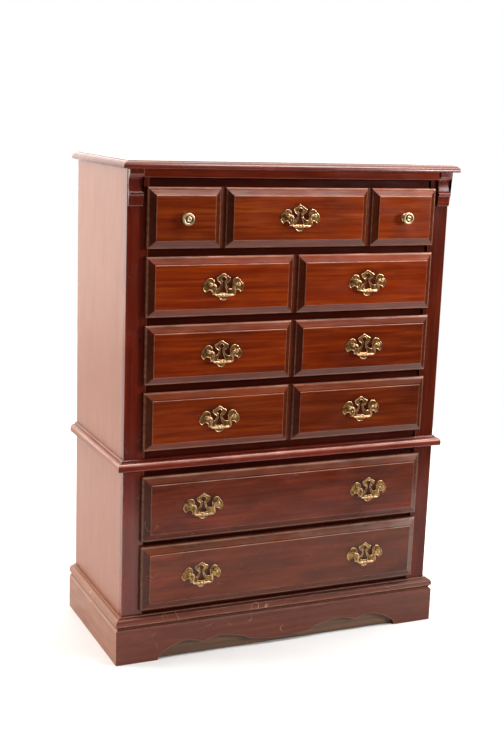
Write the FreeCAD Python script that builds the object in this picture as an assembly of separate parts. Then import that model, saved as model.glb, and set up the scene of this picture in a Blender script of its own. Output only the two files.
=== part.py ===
import FreeCAD
import Part
import math
import os

# Block front chest of six drawers, in millimetres.
# X runs to the chest's right, Y to its back and Z up, and the floor is Z = 0.
# While the pieces are shaped, Y = 0 is the front face of the corner stiles.

# The case
case_width = 914.4
case_depth = 417.5
stile_width = 56.0
stile_thickness = 19.0
side_thickness = 16.0
back_thickness = 4.8
back_rabbet = 8.0
back_clearance = 0.3

# Heights from the floor up
plinth_height = 98.0
base_moulding_height = 29.5
base_reveal = 14.0
deep_front_height = 175.0
deep_gap = 13.5
waist_reveal_below = 18.0
waist_moulding_height = 28.0
waist_reveal_above = 21.5
shallow_front_height = 153.0
shallow_gap = 18.8
top_reveal = 22.5
frieze_height = 21.0
top_thickness = 19.0

# The top board with its moulded edge
top_overhang_side = 17.9
top_overhang_front = 27.4
top_nose_drop = 13.0
top_edge_width = 17.5
top_edge_step = 1.6
top_under_round = 3.5

# The frieze strip and the corner brackets under the top
frieze_proud = 13.5
bracket_width = 37.0
bracket_height = 91.0
bracket_proud = 17.5
bracket_side_reveal = 1.0

# The mitred mouldings at the waist and at the base
waist_moulding_proud = 18.0
base_moulding_proud = 18.5
mould_bead = 5.5
mould_ledge = 1.3
groove_depth = 6.0
groove_height = 2.0

# The plinth
plinth_proud = 18.5
skin_thickness = 12.7
plinth_chamfer = 5.0
frame_thickness = 19.0
frame_foot_gap = 1.5
glue_block_leg = 42.0
glue_block_height = 60.0
scallop_half_width = 359.0
scallop_rise = 45.5

# The drawer rails
rail_thickness = 19.0
rail_setback = 6.0
rail_pad_reveal = 1.0
rear_rail_height = 35.0

# The drawer fronts
lip_overlap_side = 8.4
lip_overlap_height = 8.0
face_gap = 0.5
lip_thickness = 12.9
field_raise = 11.4
shallow_bevel = 20.0
deep_bevel = 21.0
inner_bevel = 15.5
edge_round = 4.6
field_shoulder = 2.2
field_arris = 1.2
wood_chord_turn = 22.5
block_groove_width = 16.5
block_groove_depth = 4.6
outer_groove_place = 208.0
tongue_depth = 8.5

# The drawer boxes
box_side_clearance = 3.0
box_floor_clearance = 3.3
box_headroom = 9.7
tongue_headroom = 2.4
box_side_thickness = 12.7
box_back_thickness = 12.7
box_rear_clearance = 7.7
box_groove_depth = 6.0
box_back_dado = 5.0
bottom_rise = 9.5
bottom_thickness = 4.8
bottom_edge_clearance = 0.5
bottom_front_tenon = 5.0
tail_count = 2
tail_length = 8.0
tail_flare = 1.6

# The centre guides, the channels that ride on them and the rail glides
guide_width = 44.5
guide_rise = 8.0
guide_sink = 12.0
channel_top_clearance = 0.3
channel_side_clearance = 0.4
channel_wall = 4.0
channel_length = 25.0
channel_skirt = 10.0
channel_tab_thickness = 2.0
channel_tab_rise = 26.0
glide_clearance = 0.3
glide_depth = 13.0
glide_front_inset = 3.0

# The bail pulls
post_spacing = 76.2
pull_rise = 7.5
upper_pull_place = 207.2
lower_pull_place = 245.0
plate_thickness = 2.2
plate_grid = 1.0
pivot_stand_off = 9.8
post_foot_radius = 3.2
post_neck_radius = 2.7
post_head_radius = 4.6
post_head_length = 4.9
post_nose_radius = 2.4
post_nose_length = 2.0
pin_radius = 1.6
pin_clearance = 0.06
pin_reach = 2.9
bail_shoulder_gap = 0.4
bail_radius = 2.5
bail_drop = 27.1
grip_radius = 3.3
grip_bead_radius = 3.9
metal_sides = 8
metal_chord_turn = 60.0

# The two knobs of the top drawer
knob_diameter = 32.0
knob_projection = 22.0
knob_place = 311.5
knob_sides = 12

# Sizes that follow from the ones above
half_case = case_width / 2
half_opening = half_case - stile_width
case_top = (plinth_height + base_moulding_height + base_reveal + 2 * deep_front_height + deep_gap
            + waist_reveal_below + waist_moulding_height + waist_reveal_above
            + 4 * shallow_front_height + 3 * shallow_gap + top_reveal + frieze_height)
waist_bottom = (plinth_height + base_moulding_height + base_reveal
                + 2 * deep_front_height + deep_gap + waist_reveal_below)
lip_y = -face_gap - lip_thickness
field_y = lip_y - field_raise
tongue_y = tongue_depth - face_gap
pivot_y = field_y - plate_thickness - pivot_stand_off
rail_back = rail_setback + rail_thickness
back_panel_y = case_depth - back_thickness
rear_rail_y = back_panel_y - rail_thickness
box_back_y = rear_rail_y - box_rear_clearance
box_half = half_opening - box_side_clearance
inner_half = box_half - box_side_thickness
half_spacing = post_spacing / 2
knob_y = field_y - knob_projection
centre_y = (case_depth + knob_y) / 2


def vector(x, y, z):
    return FreeCAD.Vector(x, y, z)


def box(x0, x1, y0, y1, z0, z1):
    return Part.makeBox(x1 - x0, y1 - y0, z1 - z0, vector(x0, y0, z0))


def in_front_view(y):
    return lambda x, z: vector(x, y, z)


def in_plan(z):
    return lambda x, y: vector(x, y, z)


def in_side_view(x):
    return lambda y, z: vector(x, y, z)


def outline(place, start, *steps):
    """A closed wire in one plane. A step is an end point, or a point passed through and an end
    point where the edge is an arc."""
    edges = []
    here = start
    for step in steps + (start,):
        if isinstance(step[0], tuple):
            through, end = step
            edges.append(Part.Arc(place(*here), place(*through), place(*end)).toShape())
        else:
            end = step
            if math.dist(here, end) > 1e-6:
                edges.append(Part.makeLine(place(*here), place(*end)))
        here = end
    return Part.Wire(edges)


def prism(place, along, start, *steps):
    return Part.Face(outline(place, start, *steps)).extrude(along)


def chords(start, through, end, turn):
    """The ends of the chords that stand in for an arc, each turning no more than the angle."""
    arc = Part.Arc(vector(*start, 0), vector(*through, 0), vector(*end, 0))
    whole = math.degrees(arc.LastParameter - arc.FirstParameter)
    points = arc.discretize(max(2, math.ceil(whole / turn)) + 1)
    if math.dist(start, points[0][:2]) > math.dist(start, points[-1][:2]):
        points.reverse()
    return [(point.x, point.y) for point in points[1:]]


def in_chords(steps, turn):
    """The same run of steps with its arcs made of chords."""
    points = [steps[0]]
    for step in steps[1:]:
        points += chords(points[-1], *step, turn) if isinstance(step[0], tuple) else [step]
    return points


def drawn_out(steps, across, up):
    """The steps stretched along each axis by its own factor."""
    def laid(point):
        return (across * point[0], up * point[1])
    return [tuple(laid(p) for p in step) if isinstance(step[0], tuple) else laid(step)
            for step in steps]


def facing_left(steps):
    """The steps of an edge walked the other way round."""
    ends = [step[1] if isinstance(step[0], tuple) else step for step in steps]
    back = [ends[-1]]
    for i in range(len(steps) - 1, 0, -1):
        turned = isinstance(steps[i][0], tuple)
        back.append((steps[i][0], ends[i - 1]) if turned else ends[i - 1])
    return back


def symmetrical(half):
    """A half outline and its mirror image as one run of steps."""
    return half + drawn_out(facing_left(half), -1, 1)[1:]


def mirrored(shape):
    return shape.mirror(vector(0, 0, 0), vector(1, 0, 0))


def both_sides(shape):
    return [shape, mirrored(shape)]


def save(name, *solids):
    """Writes one node, with the chest's footprint centred on the origin."""
    shape = solids[0] if len(solids) == 1 else Part.makeCompound(list(solids))
    shape = shape.copy()
    shape.translate(vector(0, -centre_y, 0))
    shape.exportStep("parts/%s.step" % name)


class Drawer:
    """One drawer's place in the case, numbered from the top."""

    def __init__(self, number, front_low):
        deep = number > 4
        self.number = number
        self.front_low = front_low
        self.front_high = front_low + (deep_front_height if deep else shallow_front_height)
        self.low = self.front_low + lip_overlap_height
        self.high = self.front_high - lip_overlap_height
        self.bevel = deep_bevel if deep else shallow_bevel
        self.grooves = []
        self.pulls = [("left", -lower_pull_place), ("right", lower_pull_place)]
        if number == 1:
            self.grooves = [-outer_groove_place, outer_groove_place]
            self.pulls = [("centre", 0.0)]
        elif not deep:
            self.grooves = [0.0]
            self.pulls = [("left", -upper_pull_place), ("right", upper_pull_place)]
        self.middle = (self.front_low + self.front_high) / 2
        self.pivot_z = self.middle + pull_rise
        self.box_low = self.low + box_floor_clearance
        self.box_high = self.high - box_headroom
        self.bottom_low = self.box_low + bottom_rise
        self.bottom_high = self.bottom_low + bottom_thickness


def drawer_stack():
    """The six drawers from the top one down."""
    waist = waist_reveal_below + waist_moulding_height + waist_reveal_above
    gaps_below = [shallow_gap, shallow_gap, shallow_gap, waist, deep_gap, 0]
    front_low = case_top - frieze_height - top_reveal - shallow_front_height
    drawers = []
    for number, gap in enumerate(gaps_below, start=1):
        drawers.append(Drawer(number, front_low))
        front_low -= gap + (deep_front_height if number >= 4 else shallow_front_height)
    return drawers


# ---- The case -----------------------------------------------------------------------------

def stile():
    """A corner post board; its outer edge shows as a strip on the side of the case."""
    return box(half_opening, half_case, 0, stile_thickness, plinth_height, case_top)


def side_panel():
    panel = box(half_case - side_thickness, half_case, stile_thickness, case_depth,
                plinth_height, case_top)
    rabbet = box(0, half_case - side_thickness + back_rabbet, back_panel_y, case_depth,
                 plinth_height, case_top)
    return panel.cut(rabbet)


def back_panel():
    half = half_case - side_thickness + back_rabbet - back_clearance
    return box(-half, half, back_panel_y, case_depth, plinth_height, case_top)


def rail(low, high, pad_low=0, pad_high=0):
    """A rail between the stiles. Its pad comes out level with them behind a moulding."""
    board = box(-half_opening, half_opening, rail_setback, rail_back, low, high)
    if pad_high > pad_low:
        pad = box(-half_opening, half_opening, 0, rail_setback, pad_low, pad_high)
        board = board.fuse(pad).removeSplitter()
    return board


def drawer_rails(drawers):
    top, bottom = drawers[0], drawers[-1]
    waist_top = waist_bottom + waist_moulding_height
    base_top = plinth_height + base_moulding_height
    rails = [rail(top.high, case_top, case_top - frieze_height + rail_pad_reveal, case_top)]
    for above, under in zip(drawers, drawers[1:]):
        if above.low > waist_bottom > under.high:
            rails.append(rail(under.high, above.low,
                              waist_bottom + rail_pad_reveal, waist_top - rail_pad_reveal))
        else:
            rails.append(rail(under.high, above.low))
    rails.append(rail(plinth_height, bottom.low, plinth_height, base_top - rail_pad_reveal))
    return rails


def rear_rail(drawer):
    half = half_case - side_thickness
    middle = drawer.low + (guide_rise - guide_sink) / 2
    return box(-half, half, rear_rail_y, back_panel_y,
               middle - rear_rail_height / 2, middle + rear_rail_height / 2)


def centre_guide(drawer):
    return box(-guide_width / 2, guide_width / 2, rail_back, rear_rail_y,
               drawer.low - guide_sink, drawer.low + guide_rise)


def rail_glide(drawer):
    """A thin slip on the rail under each drawer side."""
    front = rail_setback + glide_front_inset
    return box(inner_half, box_half, front, front + glide_depth,
               drawer.low, drawer.box_low - glide_clearance)


# ---- The top, the frieze and the brackets -------------------------------------------------

def top_edge(nose, towards):
    """The moulded edge from the underside up: rounded under, a nose, then a long round that
    ends in a small step. Nose is its outermost place, and towards is the way it faces."""
    low = case_top
    high = case_top + top_thickness
    nose_z = high - top_nose_drop
    inner = nose - towards * top_edge_width
    rounded = nose - towards * top_under_round
    bend = 1 - math.sqrt(0.5)
    under_z = low + top_under_round
    swell = high - top_edge_step - nose_z
    return [(rounded, low),
            ((nose - towards * top_under_round * bend, low + top_under_round * bend),
             (nose, under_z)),
            (nose, nose_z),
            ((nose - towards * top_edge_width * bend, nose_z + swell * (1 - bend)),
             (inner, high - top_edge_step)),
            (inner, high)]


def top_board():
    """Two profiled lengths crossed, which leaves true mitres at the front corners."""
    nose_x = half_case + top_overhang_side
    right = top_edge(nose_x, 1)
    left = facing_left(top_edge(-nose_x, -1))
    front = facing_left(top_edge(-top_overhang_front, -1))
    deep = case_depth + 2 * top_overhang_front
    across = prism(in_front_view(-2 * top_overhang_front), vector(0, deep, 0), *right, *left)
    back_low = (case_depth, case_top)
    back_high = (case_depth, case_top + top_thickness)
    along = prism(in_side_view(-2 * nose_x), vector(4 * nose_x, 0, 0),
                  back_low, back_high, *front)
    return across.common(along)


def bracket_inner():
    return half_case - bracket_side_reveal - bracket_width


def frieze_rail():
    half = bracket_inner()
    return box(-half, half, -frieze_proud, 0, case_top - frieze_height, case_top)


def corner_bracket():
    """A small moulded block at the head of a stile: flat at the top, a cove, a rounded nose
    and a tapered foot."""
    def at(out, down):
        return (-out * bracket_proud, case_top - down * bracket_height)
    return prism(in_side_view(bracket_inner()), vector(bracket_width, 0, 0),
                 (0, case_top), at(1, 0), at(1, 0.14), (at(0.74, 0.21), at(0.46, 0.27)),
                 (at(0.41, 0.40), at(0.45, 0.50)), (at(0.58, 0.60), at(0.77, 0.64)),
                 at(0.77, 0.69), (at(0.56, 0.80), at(0.49, 0.95)), at(0.40, 1),
                 (0, case_top - bracket_height))


# ---- The mouldings ------------------------------------------------------------------------

def waist_profile(low):
    """A small bead over a quirk, then a broad round nose. First the distance out from the
    case, then the height."""
    out = waist_moulding_proud
    high = low + waist_moulding_height
    quirk = high - mould_bead
    nose_low = low + 0.16 * waist_moulding_height
    nose_high = low + 0.36 * waist_moulding_height
    ledge = mould_bead + mould_ledge
    return [(0, low), (0.78 * out, low),
            ((0.94 * out, low + 0.04 * waist_moulding_height), (out, nose_low)),
            (out, nose_high),
            ((out - 0.29 * (out - ledge), nose_high + 0.71 * (quirk - nose_high)), (ledge, quirk)),
            (mould_bead, quirk),
            ((0.78 * mould_bead, high - 0.3 * mould_bead), (0.2 * mould_bead, high)),
            (0, high)]


def base_profile(low):
    """A square fillet over a round nose that is undercut towards the plinth."""
    out = base_moulding_proud
    high = low + base_moulding_height
    fillet = mould_bead + 1
    fillet_low = high - 0.6 * mould_bead
    nose_low = low + 0.3 * base_moulding_height
    nose_high = low + 0.46 * base_moulding_height
    ledge = fillet + mould_ledge
    return [(0, low), (out - groove_depth, low), (out - groove_depth, low + groove_height),
            (out, nose_low), (out, nose_high),
            ((out - 0.29 * (out - ledge), nose_high + 0.71 * (fillet_low - nose_high)),
             (ledge, fillet_low)),
            (fillet, fillet_low), (fillet, high), (0, high)]


def turned_out(profile, sign, offset):
    """The profile with its outward distances laid off from a face of the case."""
    def shift(point):
        return (sign * (offset + point[0]), point[1])
    return [tuple(shift(p) for p in step) if isinstance(step[0], tuple) else shift(step)
            for step in profile]


def mitred_moulding(profile, proud):
    """One length along the front and one along each side, mitred at the front corners."""
    profile = in_chords(profile, wood_chord_turn)
    low, high = 0, case_top
    reach = half_case + proud
    front = prism(in_side_view(-reach), vector(2 * reach, 0, 0), *turned_out(profile, -1, 0))
    side = prism(in_front_view(-proud), vector(0, case_depth + proud, 0),
                 *turned_out(profile, 1, half_case))
    plan = prism(in_plan(low), vector(0, 0, high), (-reach, -proud), (reach, -proud),
                 (half_case, 0), (-half_case, 0))
    flank = prism(in_plan(low), vector(0, 0, high), (reach, -proud), (reach, case_depth),
                  (half_case, case_depth), (half_case, 0))
    return [front.common(plan)] + both_sides(side.common(flank))


# ---- The plinth ---------------------------------------------------------------------------

def plinth_reach():
    return half_case + plinth_proud


def scallop():
    """The cut-out under the apron: a rising foot, a cusp, a second hump and a long flat dip.
    Each place is a share of the half width and of the rise."""
    half = [(1, 0), ((0.933, 0.593), (0.805, 1)), ((0.719, 0.923), (0.652, 0.758)),
            ((0.585, 0.89), (0.501, 0.989)), ((0.39, 0.879), (0.292, 0.67)),
            ((0.195, 0.428), (0, 0.325))]
    steps = drawn_out(symmetrical(half), scallop_half_width, scallop_rise)
    return prism(in_front_view(-plinth_reach()), vector(0, 2 * plinth_reach(), 0),
                 *in_chords(steps, wood_chord_turn / 2))


def skin_profile():
    """A plinth board in section: plain, with its upper outer edge taken off."""
    return [(0, 0), (skin_thickness, 0), (skin_thickness, plinth_height - plinth_chamfer),
            (skin_thickness - plinth_chamfer, plinth_height), (0, plinth_height)]


def front_apron():
    reach = plinth_reach()
    inner = plinth_proud - skin_thickness
    board = prism(in_side_view(-reach), vector(2 * reach, 0, 0),
                  *turned_out(skin_profile(), -1, inner))
    plan = prism(in_plan(0), vector(0, 0, plinth_height), (-reach, -plinth_proud),
                 (reach, -plinth_proud), (reach - skin_thickness, -inner),
                 (skin_thickness - reach, -inner))
    return board.common(plan).cut(scallop())


def plinth_side():
    reach = plinth_reach()
    inner = plinth_proud - skin_thickness
    board = prism(in_front_view(-plinth_proud), vector(0, case_depth + plinth_proud, 0),
                  *turned_out(skin_profile(), 1, reach - skin_thickness))
    plan = prism(in_plan(0), vector(0, 0, plinth_height),
                 (reach, -plinth_proud), (reach, case_depth),
                 (reach - skin_thickness, case_depth), (reach - skin_thickness, -inner))
    return board.common(plan)


def plinth_frame():
    """The plain inner frame that carries the case: front, back and two sides."""
    half = plinth_reach() - skin_thickness
    front_y = skin_thickness - plinth_proud
    low, high = frame_foot_gap, plinth_height
    front = box(-half, half, front_y, front_y + frame_thickness, low, high)
    back = box(-half, half, case_depth - frame_thickness, case_depth, low, high)
    side = box(half - frame_thickness, half, front_y + frame_thickness,
               case_depth - frame_thickness, low, high)
    return [front, back] + both_sides(side)


def glue_blocks():
    """Triangular blocks in the four corners of the frame."""
    x = plinth_reach() - skin_thickness - frame_thickness
    front_y = skin_thickness - plinth_proud + frame_thickness
    back_y = case_depth - frame_thickness
    blocks = []
    for y, turn in ((front_y, 1), (back_y, -1)):
        block = prism(in_plan(plinth_height - glue_block_height), vector(0, 0, glue_block_height),
                      (x, y), (x - glue_block_leg, y), (x, y + turn * glue_block_leg))
        blocks += both_sides(block)
    return blocks


# ---- The drawer fronts --------------------------------------------------------------------

def edge_down(edge, towards, bevel):
    """From the field down to the lip's edge: arris, shoulder, bevel and rounded corner. First
    the place along the front, then the depth."""
    bend = 1 - math.sqrt(0.5)
    field = edge - towards * bevel
    return [(field - towards * field_arris, field_y), (field, field_y + field_arris),
            (field, field_y + field_shoulder),
            (edge - towards * edge_round, lip_y),
            ((edge - towards * edge_round * bend, lip_y + edge_round * bend),
             (edge, lip_y + edge_round))]


def into_groove(groove, towards):
    """From the field down an inner bevel to the middle of a block groove."""
    rim = groove - towards * block_groove_width / 2
    field = rim - towards * inner_bevel
    middle = groove - towards * block_groove_width / 4
    return [(field - towards * field_arris, field_y), (field, field_y + field_arris),
            (field, field_y + field_shoulder),
            (rim, lip_y),
            ((middle, lip_y + 0.8 * block_groove_depth), (groove, lip_y + block_groove_depth))]


def front_profile(low, high, bevel, grooves):
    """The whole section of a front from its low edge to its high edge."""
    steps = [(low, -face_gap)] + facing_left(edge_down(low, -1, bevel))
    for groove in grooves:
        steps += into_groove(groove, 1)
        steps += facing_left(into_groove(groove, -1))[1:]
    steps += edge_down(high, 1, bevel) + [(high, -face_gap)]
    return in_chords(steps, wood_chord_turn)


def tail_middles(drawer):
    pitch = (drawer.box_high - drawer.box_low) / tail_count
    return [drawer.box_low + pitch * (i + 0.5) for i in range(tail_count)]


def side_outline(drawer):
    """A drawer side seen square on, with its dovetails at the front."""
    quarter = (drawer.box_high - drawer.box_low) / tail_count / 4
    shoulder = tongue_y
    tip = tongue_y - tail_length
    points = [(box_back_y, drawer.box_low), (shoulder, drawer.box_low)]
    for z in tail_middles(drawer):
        points += [(shoulder, z - quarter), (tip, z - quarter - tail_flare),
                   (tip, z + quarter + tail_flare), (shoulder, z + quarter)]
    return points + [(shoulder, drawer.box_high), (box_back_y, drawer.box_high)]


def side_blank(drawer):
    return prism(in_side_view(inner_half), vector(box_side_thickness, 0, 0), *side_outline(drawer))


def bottom_groove(drawer):
    half = inner_half + box_groove_depth
    return box(-half, half, tongue_y - bottom_front_tenon, box_back_y,
               drawer.bottom_low, drawer.bottom_high)


def drawer_front(drawer):
    """A thick block front: raised fields with mitred bevels and coved grooves between them,
    a lip all round and a tongue that takes the dovetails."""
    half = half_opening + lip_overlap_side
    upright = prism(in_plan(0), vector(0, 0, case_top),
                    *front_profile(-half, half, drawer.bevel, drawer.grooves))
    level_steps = front_profile(drawer.front_low, drawer.front_high, drawer.bevel, [])
    level = prism(lambda z, y: vector(-half_case, y, z), vector(case_width, 0, 0), *level_steps)
    tongue = box(-box_half, box_half, -face_gap, tongue_y,
                 drawer.box_low, drawer.high - tongue_headroom)
    front = upright.common(level).fuse(tongue)
    for blank in both_sides(side_blank(drawer)) + [bottom_groove(drawer)]:
        front = front.cut(blank)
    return front.removeSplitter()


# ---- The drawer boxes ---------------------------------------------------------------------

def back_dado(drawer):
    half = inner_half + box_back_dado
    return box(-half, half, box_back_y - box_back_thickness, box_back_y,
               drawer.bottom_high, drawer.box_high)


def drawer_box(drawer):
    """Two dovetailed sides and a back let into them, standing on the bottom."""
    side = side_blank(drawer).cut(bottom_groove(drawer)).cut(back_dado(drawer))
    return both_sides(side) + [back_dado(drawer)]


def drawer_bottom(drawer):
    half = inner_half + box_groove_depth - bottom_edge_clearance
    return box(-half, half, tongue_y - bottom_front_tenon, box_back_y,
               drawer.bottom_low, drawer.bottom_high)


def guide_channel(drawer):
    """An upside-down channel under the drawer's back, astride the centre guide, with a tab up
    the back board."""
    inner = guide_width / 2 + channel_side_clearance
    outer = inner + channel_wall
    seat = drawer.low + guide_rise + channel_top_clearance
    front = box_back_y - channel_length
    block = box(-outer, outer, front, box_back_y, seat - channel_skirt, drawer.bottom_low)
    slot = box(-inner, inner, front, box_back_y, seat - channel_skirt, seat)
    tab = box(-outer, outer, box_back_y, box_back_y + channel_tab_thickness,
              seat, drawer.bottom_high + channel_tab_rise)
    return block.cut(slot).fuse(tab).removeSplitter()


# ---- The pulls and the knobs --------------------------------------------------------------

def plate_outline():
    """Half of the pierced batwing plate, from the crown's middle down to the foot's middle, on
    the plate's drawing grid. Heights are from the pivot line, and the side lobes are laid out
    from the posts."""
    p = half_spacing / plate_grid
    crown = [(0, 27.6), ((2, 27.4), (3.5, 26.4)), ((10, 20.6), (18.6, 16.8)),
             ((19.6, 15.9), (19.4, 14.6))]
    waist = [((15.3, 6.3), (8.6, 1.5)), ((8.1, -0.8), (8.9, -3)), ((13.2, -10), (21.8, -12.8))]
    lobe = [((p - 13.5, -11.8), (p - 13.1, -8)), (p - 14, 2), ((p - 1.5, 17.3), (p + 10.3, 6.4)),
            ((p + 17.5, -4.5), (p + 8.9, -21.8)), ((p + 0.9, -15.6), (p - 7.9, -27.2))]
    foot = [((p - 9.1, -28.2), (p - 10.5, -27)), ((19, -29), (11.4, -33.6)),
            ((8.6, -39.9), (0, -42.6))]
    return crown + waist + lobe + foot


def keyhole_outline():
    """Half of the opening in the plate's middle, on the same grid: a round head, a neck and a
    flared skirt."""
    return [(0, 18.4), ((6.2, 12.2), (2.4, 6.5)), ((4.6, -8.5), (11.5, -22.5)),
            ((5.8, -23.6), (0, -24))]


def pull_plate():
    place = in_front_view(field_y - plate_thickness)
    through = vector(0, plate_thickness, 0)
    cuts = []
    for half in (plate_outline(), keyhole_outline()):
        steps = drawn_out(symmetrical(half), plate_grid, plate_grid)
        cuts.append(prism(place, through, *in_chords(steps, metal_chord_turn)))
    return cuts[0].cut(cuts[1])


def ring(centre, run, across, radius, sides, square=None):
    """Where a plane cuts a many-sided bar. Run is the bar's direction, across a direction square
    to it, and square the plane's own direction where it isn't square to the run."""
    square = square or run
    upright = run.cross(across)
    points = []
    for i in range(sides):
        angle = 2 * math.pi * (i + 0.5) / sides
        offset = across * (radius * math.cos(angle)) + upright * (radius * math.sin(angle))
        points.append(centre + offset - run * (offset.dot(square) / run.dot(square)))
    return points


def flat_face(points):
    return Part.Face(Part.makePolygon(points + points[:1]))


def skinned(rings):
    """A closed solid with flat faces from each ring of points to the next."""
    faces = [flat_face(rings[0]), flat_face(rings[-1])]
    for near, far in zip(rings, rings[1:]):
        for i, point in enumerate(near):
            faces.append(flat_face([near[i - 1], point, far[i], far[i - 1]]))
    shell = Part.makeShell(faces)
    shell.sewShape()
    solid = Part.makeSolid(shell)
    if solid.Volume < 0:
        solid.reverse()
    return solid


def turned(x, sections, sides):
    """A turning along Y from its sections, each a place and a radius."""
    run, across = vector(0, -1, 0), vector(1, 0, 0)
    return skinned([ring(vector(x, y, 0), run, across, radius, sides) for y, radius in sections])


def pull_post():
    """A turned post on the plate, drilled across through its head for the bail's pin."""
    face = field_y - plate_thickness
    head = pivot_y + post_head_length / 2
    tip = head - post_head_length - post_nose_length
    post = turned(half_spacing, [(face, post_foot_radius), (head + 0.8, post_neck_radius),
                                 (head, post_head_radius), (head - post_head_length, post_head_radius),
                                 (tip, post_nose_radius)], metal_sides)
    bore = (pin_radius + pin_clearance) / math.cos(math.pi / metal_sides)
    reach = 2 * post_head_radius
    start = vector(half_spacing - reach, pivot_y, 0)
    hole = flat_face(ring(start, vector(1, 0, 0), vector(0, 1, 0), bore, metal_sides))
    return post.cut(hole.extrude(vector(2 * reach, 0, 0)))


def bail_path():
    """Half of the bail's middle line with its radius, from the pin's end to the grip's bead."""
    shoulder = half_spacing - post_head_radius - bail_shoulder_gap
    elbow = (shoulder - 5.7, -0.66 * bail_drop)
    path = [(half_spacing + pin_reach, 0, pin_radius), (shoulder, 0, pin_radius),
            (shoulder, 0, bail_radius)]
    for x, z in chords((shoulder, 0), (shoulder - 5, -1.2), (shoulder - 8.1, -6), metal_chord_turn):
        path.append((x, z, bail_radius))
    path.append(elbow + (bail_radius,))
    for x, z in chords(elbow, (elbow[0] - 1.4, -0.9 * bail_drop), (elbow[0] - 8.4, -bail_drop),
                       metal_chord_turn):
        path.append((x, z, bail_radius))
    return path + [(elbow[0] - 10, -bail_drop, bail_radius), (6, -bail_drop, grip_radius),
                   (5, -bail_drop, bail_radius), (2.4, -bail_drop, grip_bead_radius)]


def bail():
    """One swinging bail, hanging plumb from its two pins, its bends mitred chord to chord."""
    path = bail_path()
    places = [vector(x, pivot_y, z) for x, z, radius in path]
    depth = vector(0, 1, 0)
    arriving = vector(-1, 0, 0)
    rings = []
    for i, (x, z, radius) in enumerate(path):
        step = places[min(i + 1, len(path) - 1)] - places[i]
        leaving = step.normalize() if step.Length > 0 else arriving
        if radius == path[max(i - 1, 0)][2]:
            rings.append(ring(places[i], arriving, depth, radius, metal_sides, arriving + leaving))
        else:
            rings.append(ring(places[i], leaving, depth, radius, metal_sides, arriving))
        arriving = leaving
    other_half = [[vector(-point.x, point.y, point.z) for point in points]
                  for points in reversed(rings)]
    return skinned(rings + other_half)


def at_pull(shape, x, drawer):
    moved = shape.copy()
    moved.translate(vector(x, 0, drawer.pivot_z))
    return moved


def knob(x, z):
    """A cast brass knob, hollowed in its face round a middle button."""
    sections = [(0, 0.72), (0.3, 0.56), (0.52, 0.88), (0.7, 1), (0.93, 0.88), (0.95, 0.66),
                (0.88, 0.58), (1, 0.46)]
    piece = turned(x, [(field_y - along * knob_projection, out * knob_diameter / 2)
                       for along, out in sections], knob_sides)
    piece.translate(vector(0, 0, z))
    return piece


# ---- Writing the nodes --------------------------------------------------------------------

def write_case(drawers):
    save("top_board", top_board())
    save("right_side_panel", side_panel())
    save("left_side_panel", mirrored(side_panel()))
    save("right_stile", stile())
    save("left_stile", mirrored(stile()))
    save("drawer_rails", *drawer_rails(drawers))
    save("rear_rails", *[rear_rail(drawer) for drawer in drawers])
    save("centre_guides", *[centre_guide(drawer) for drawer in drawers])
    save("rail_glides", *[glide for drawer in drawers for glide in both_sides(rail_glide(drawer))])
    save("back_panel", back_panel())
    save("frieze_rail", frieze_rail())
    save("corner_brackets", *both_sides(corner_bracket()))
    save("waist_moulding", *mitred_moulding(waist_profile(waist_bottom), waist_moulding_proud))
    save("base_moulding", *mitred_moulding(base_profile(plinth_height), base_moulding_proud))
    save("front_apron", front_apron())
    save("plinth_sides", *both_sides(plinth_side()))
    save("plinth_frame", *plinth_frame())
    save("glue_blocks", *glue_blocks())


def write_drawer(drawer):
    name = "drawer_%d_" % drawer.number
    save(name + "front", drawer_front(drawer))
    save(name + "box", *drawer_box(drawer))
    save(name + "bottom", drawer_bottom(drawer))
    save(name + "guide", guide_channel(drawer))
    fittings = [pull_plate()] + both_sides(pull_post())
    save(name + "pulls",
         *[at_pull(piece, x, drawer) for side, x in drawer.pulls for piece in fittings])
    for side, x in drawer.pulls:
        save("bail_%d_%s" % (drawer.number, side), at_pull(bail(), x, drawer))
    if drawer.number == 1:
        save("knobs", knob(-knob_place, drawer.middle), knob(knob_place, drawer.middle))


os.makedirs("parts", exist_ok=True)
chest_drawers = drawer_stack()
write_case(chest_drawers)
for chest_drawer in chest_drawers:
    write_drawer(chest_drawer)
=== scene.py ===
import math

import bmesh
import bpy
import numpy as np
from mathutils import Matrix, Vector
from mathutils.geometry import tessellate_polygon


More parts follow.
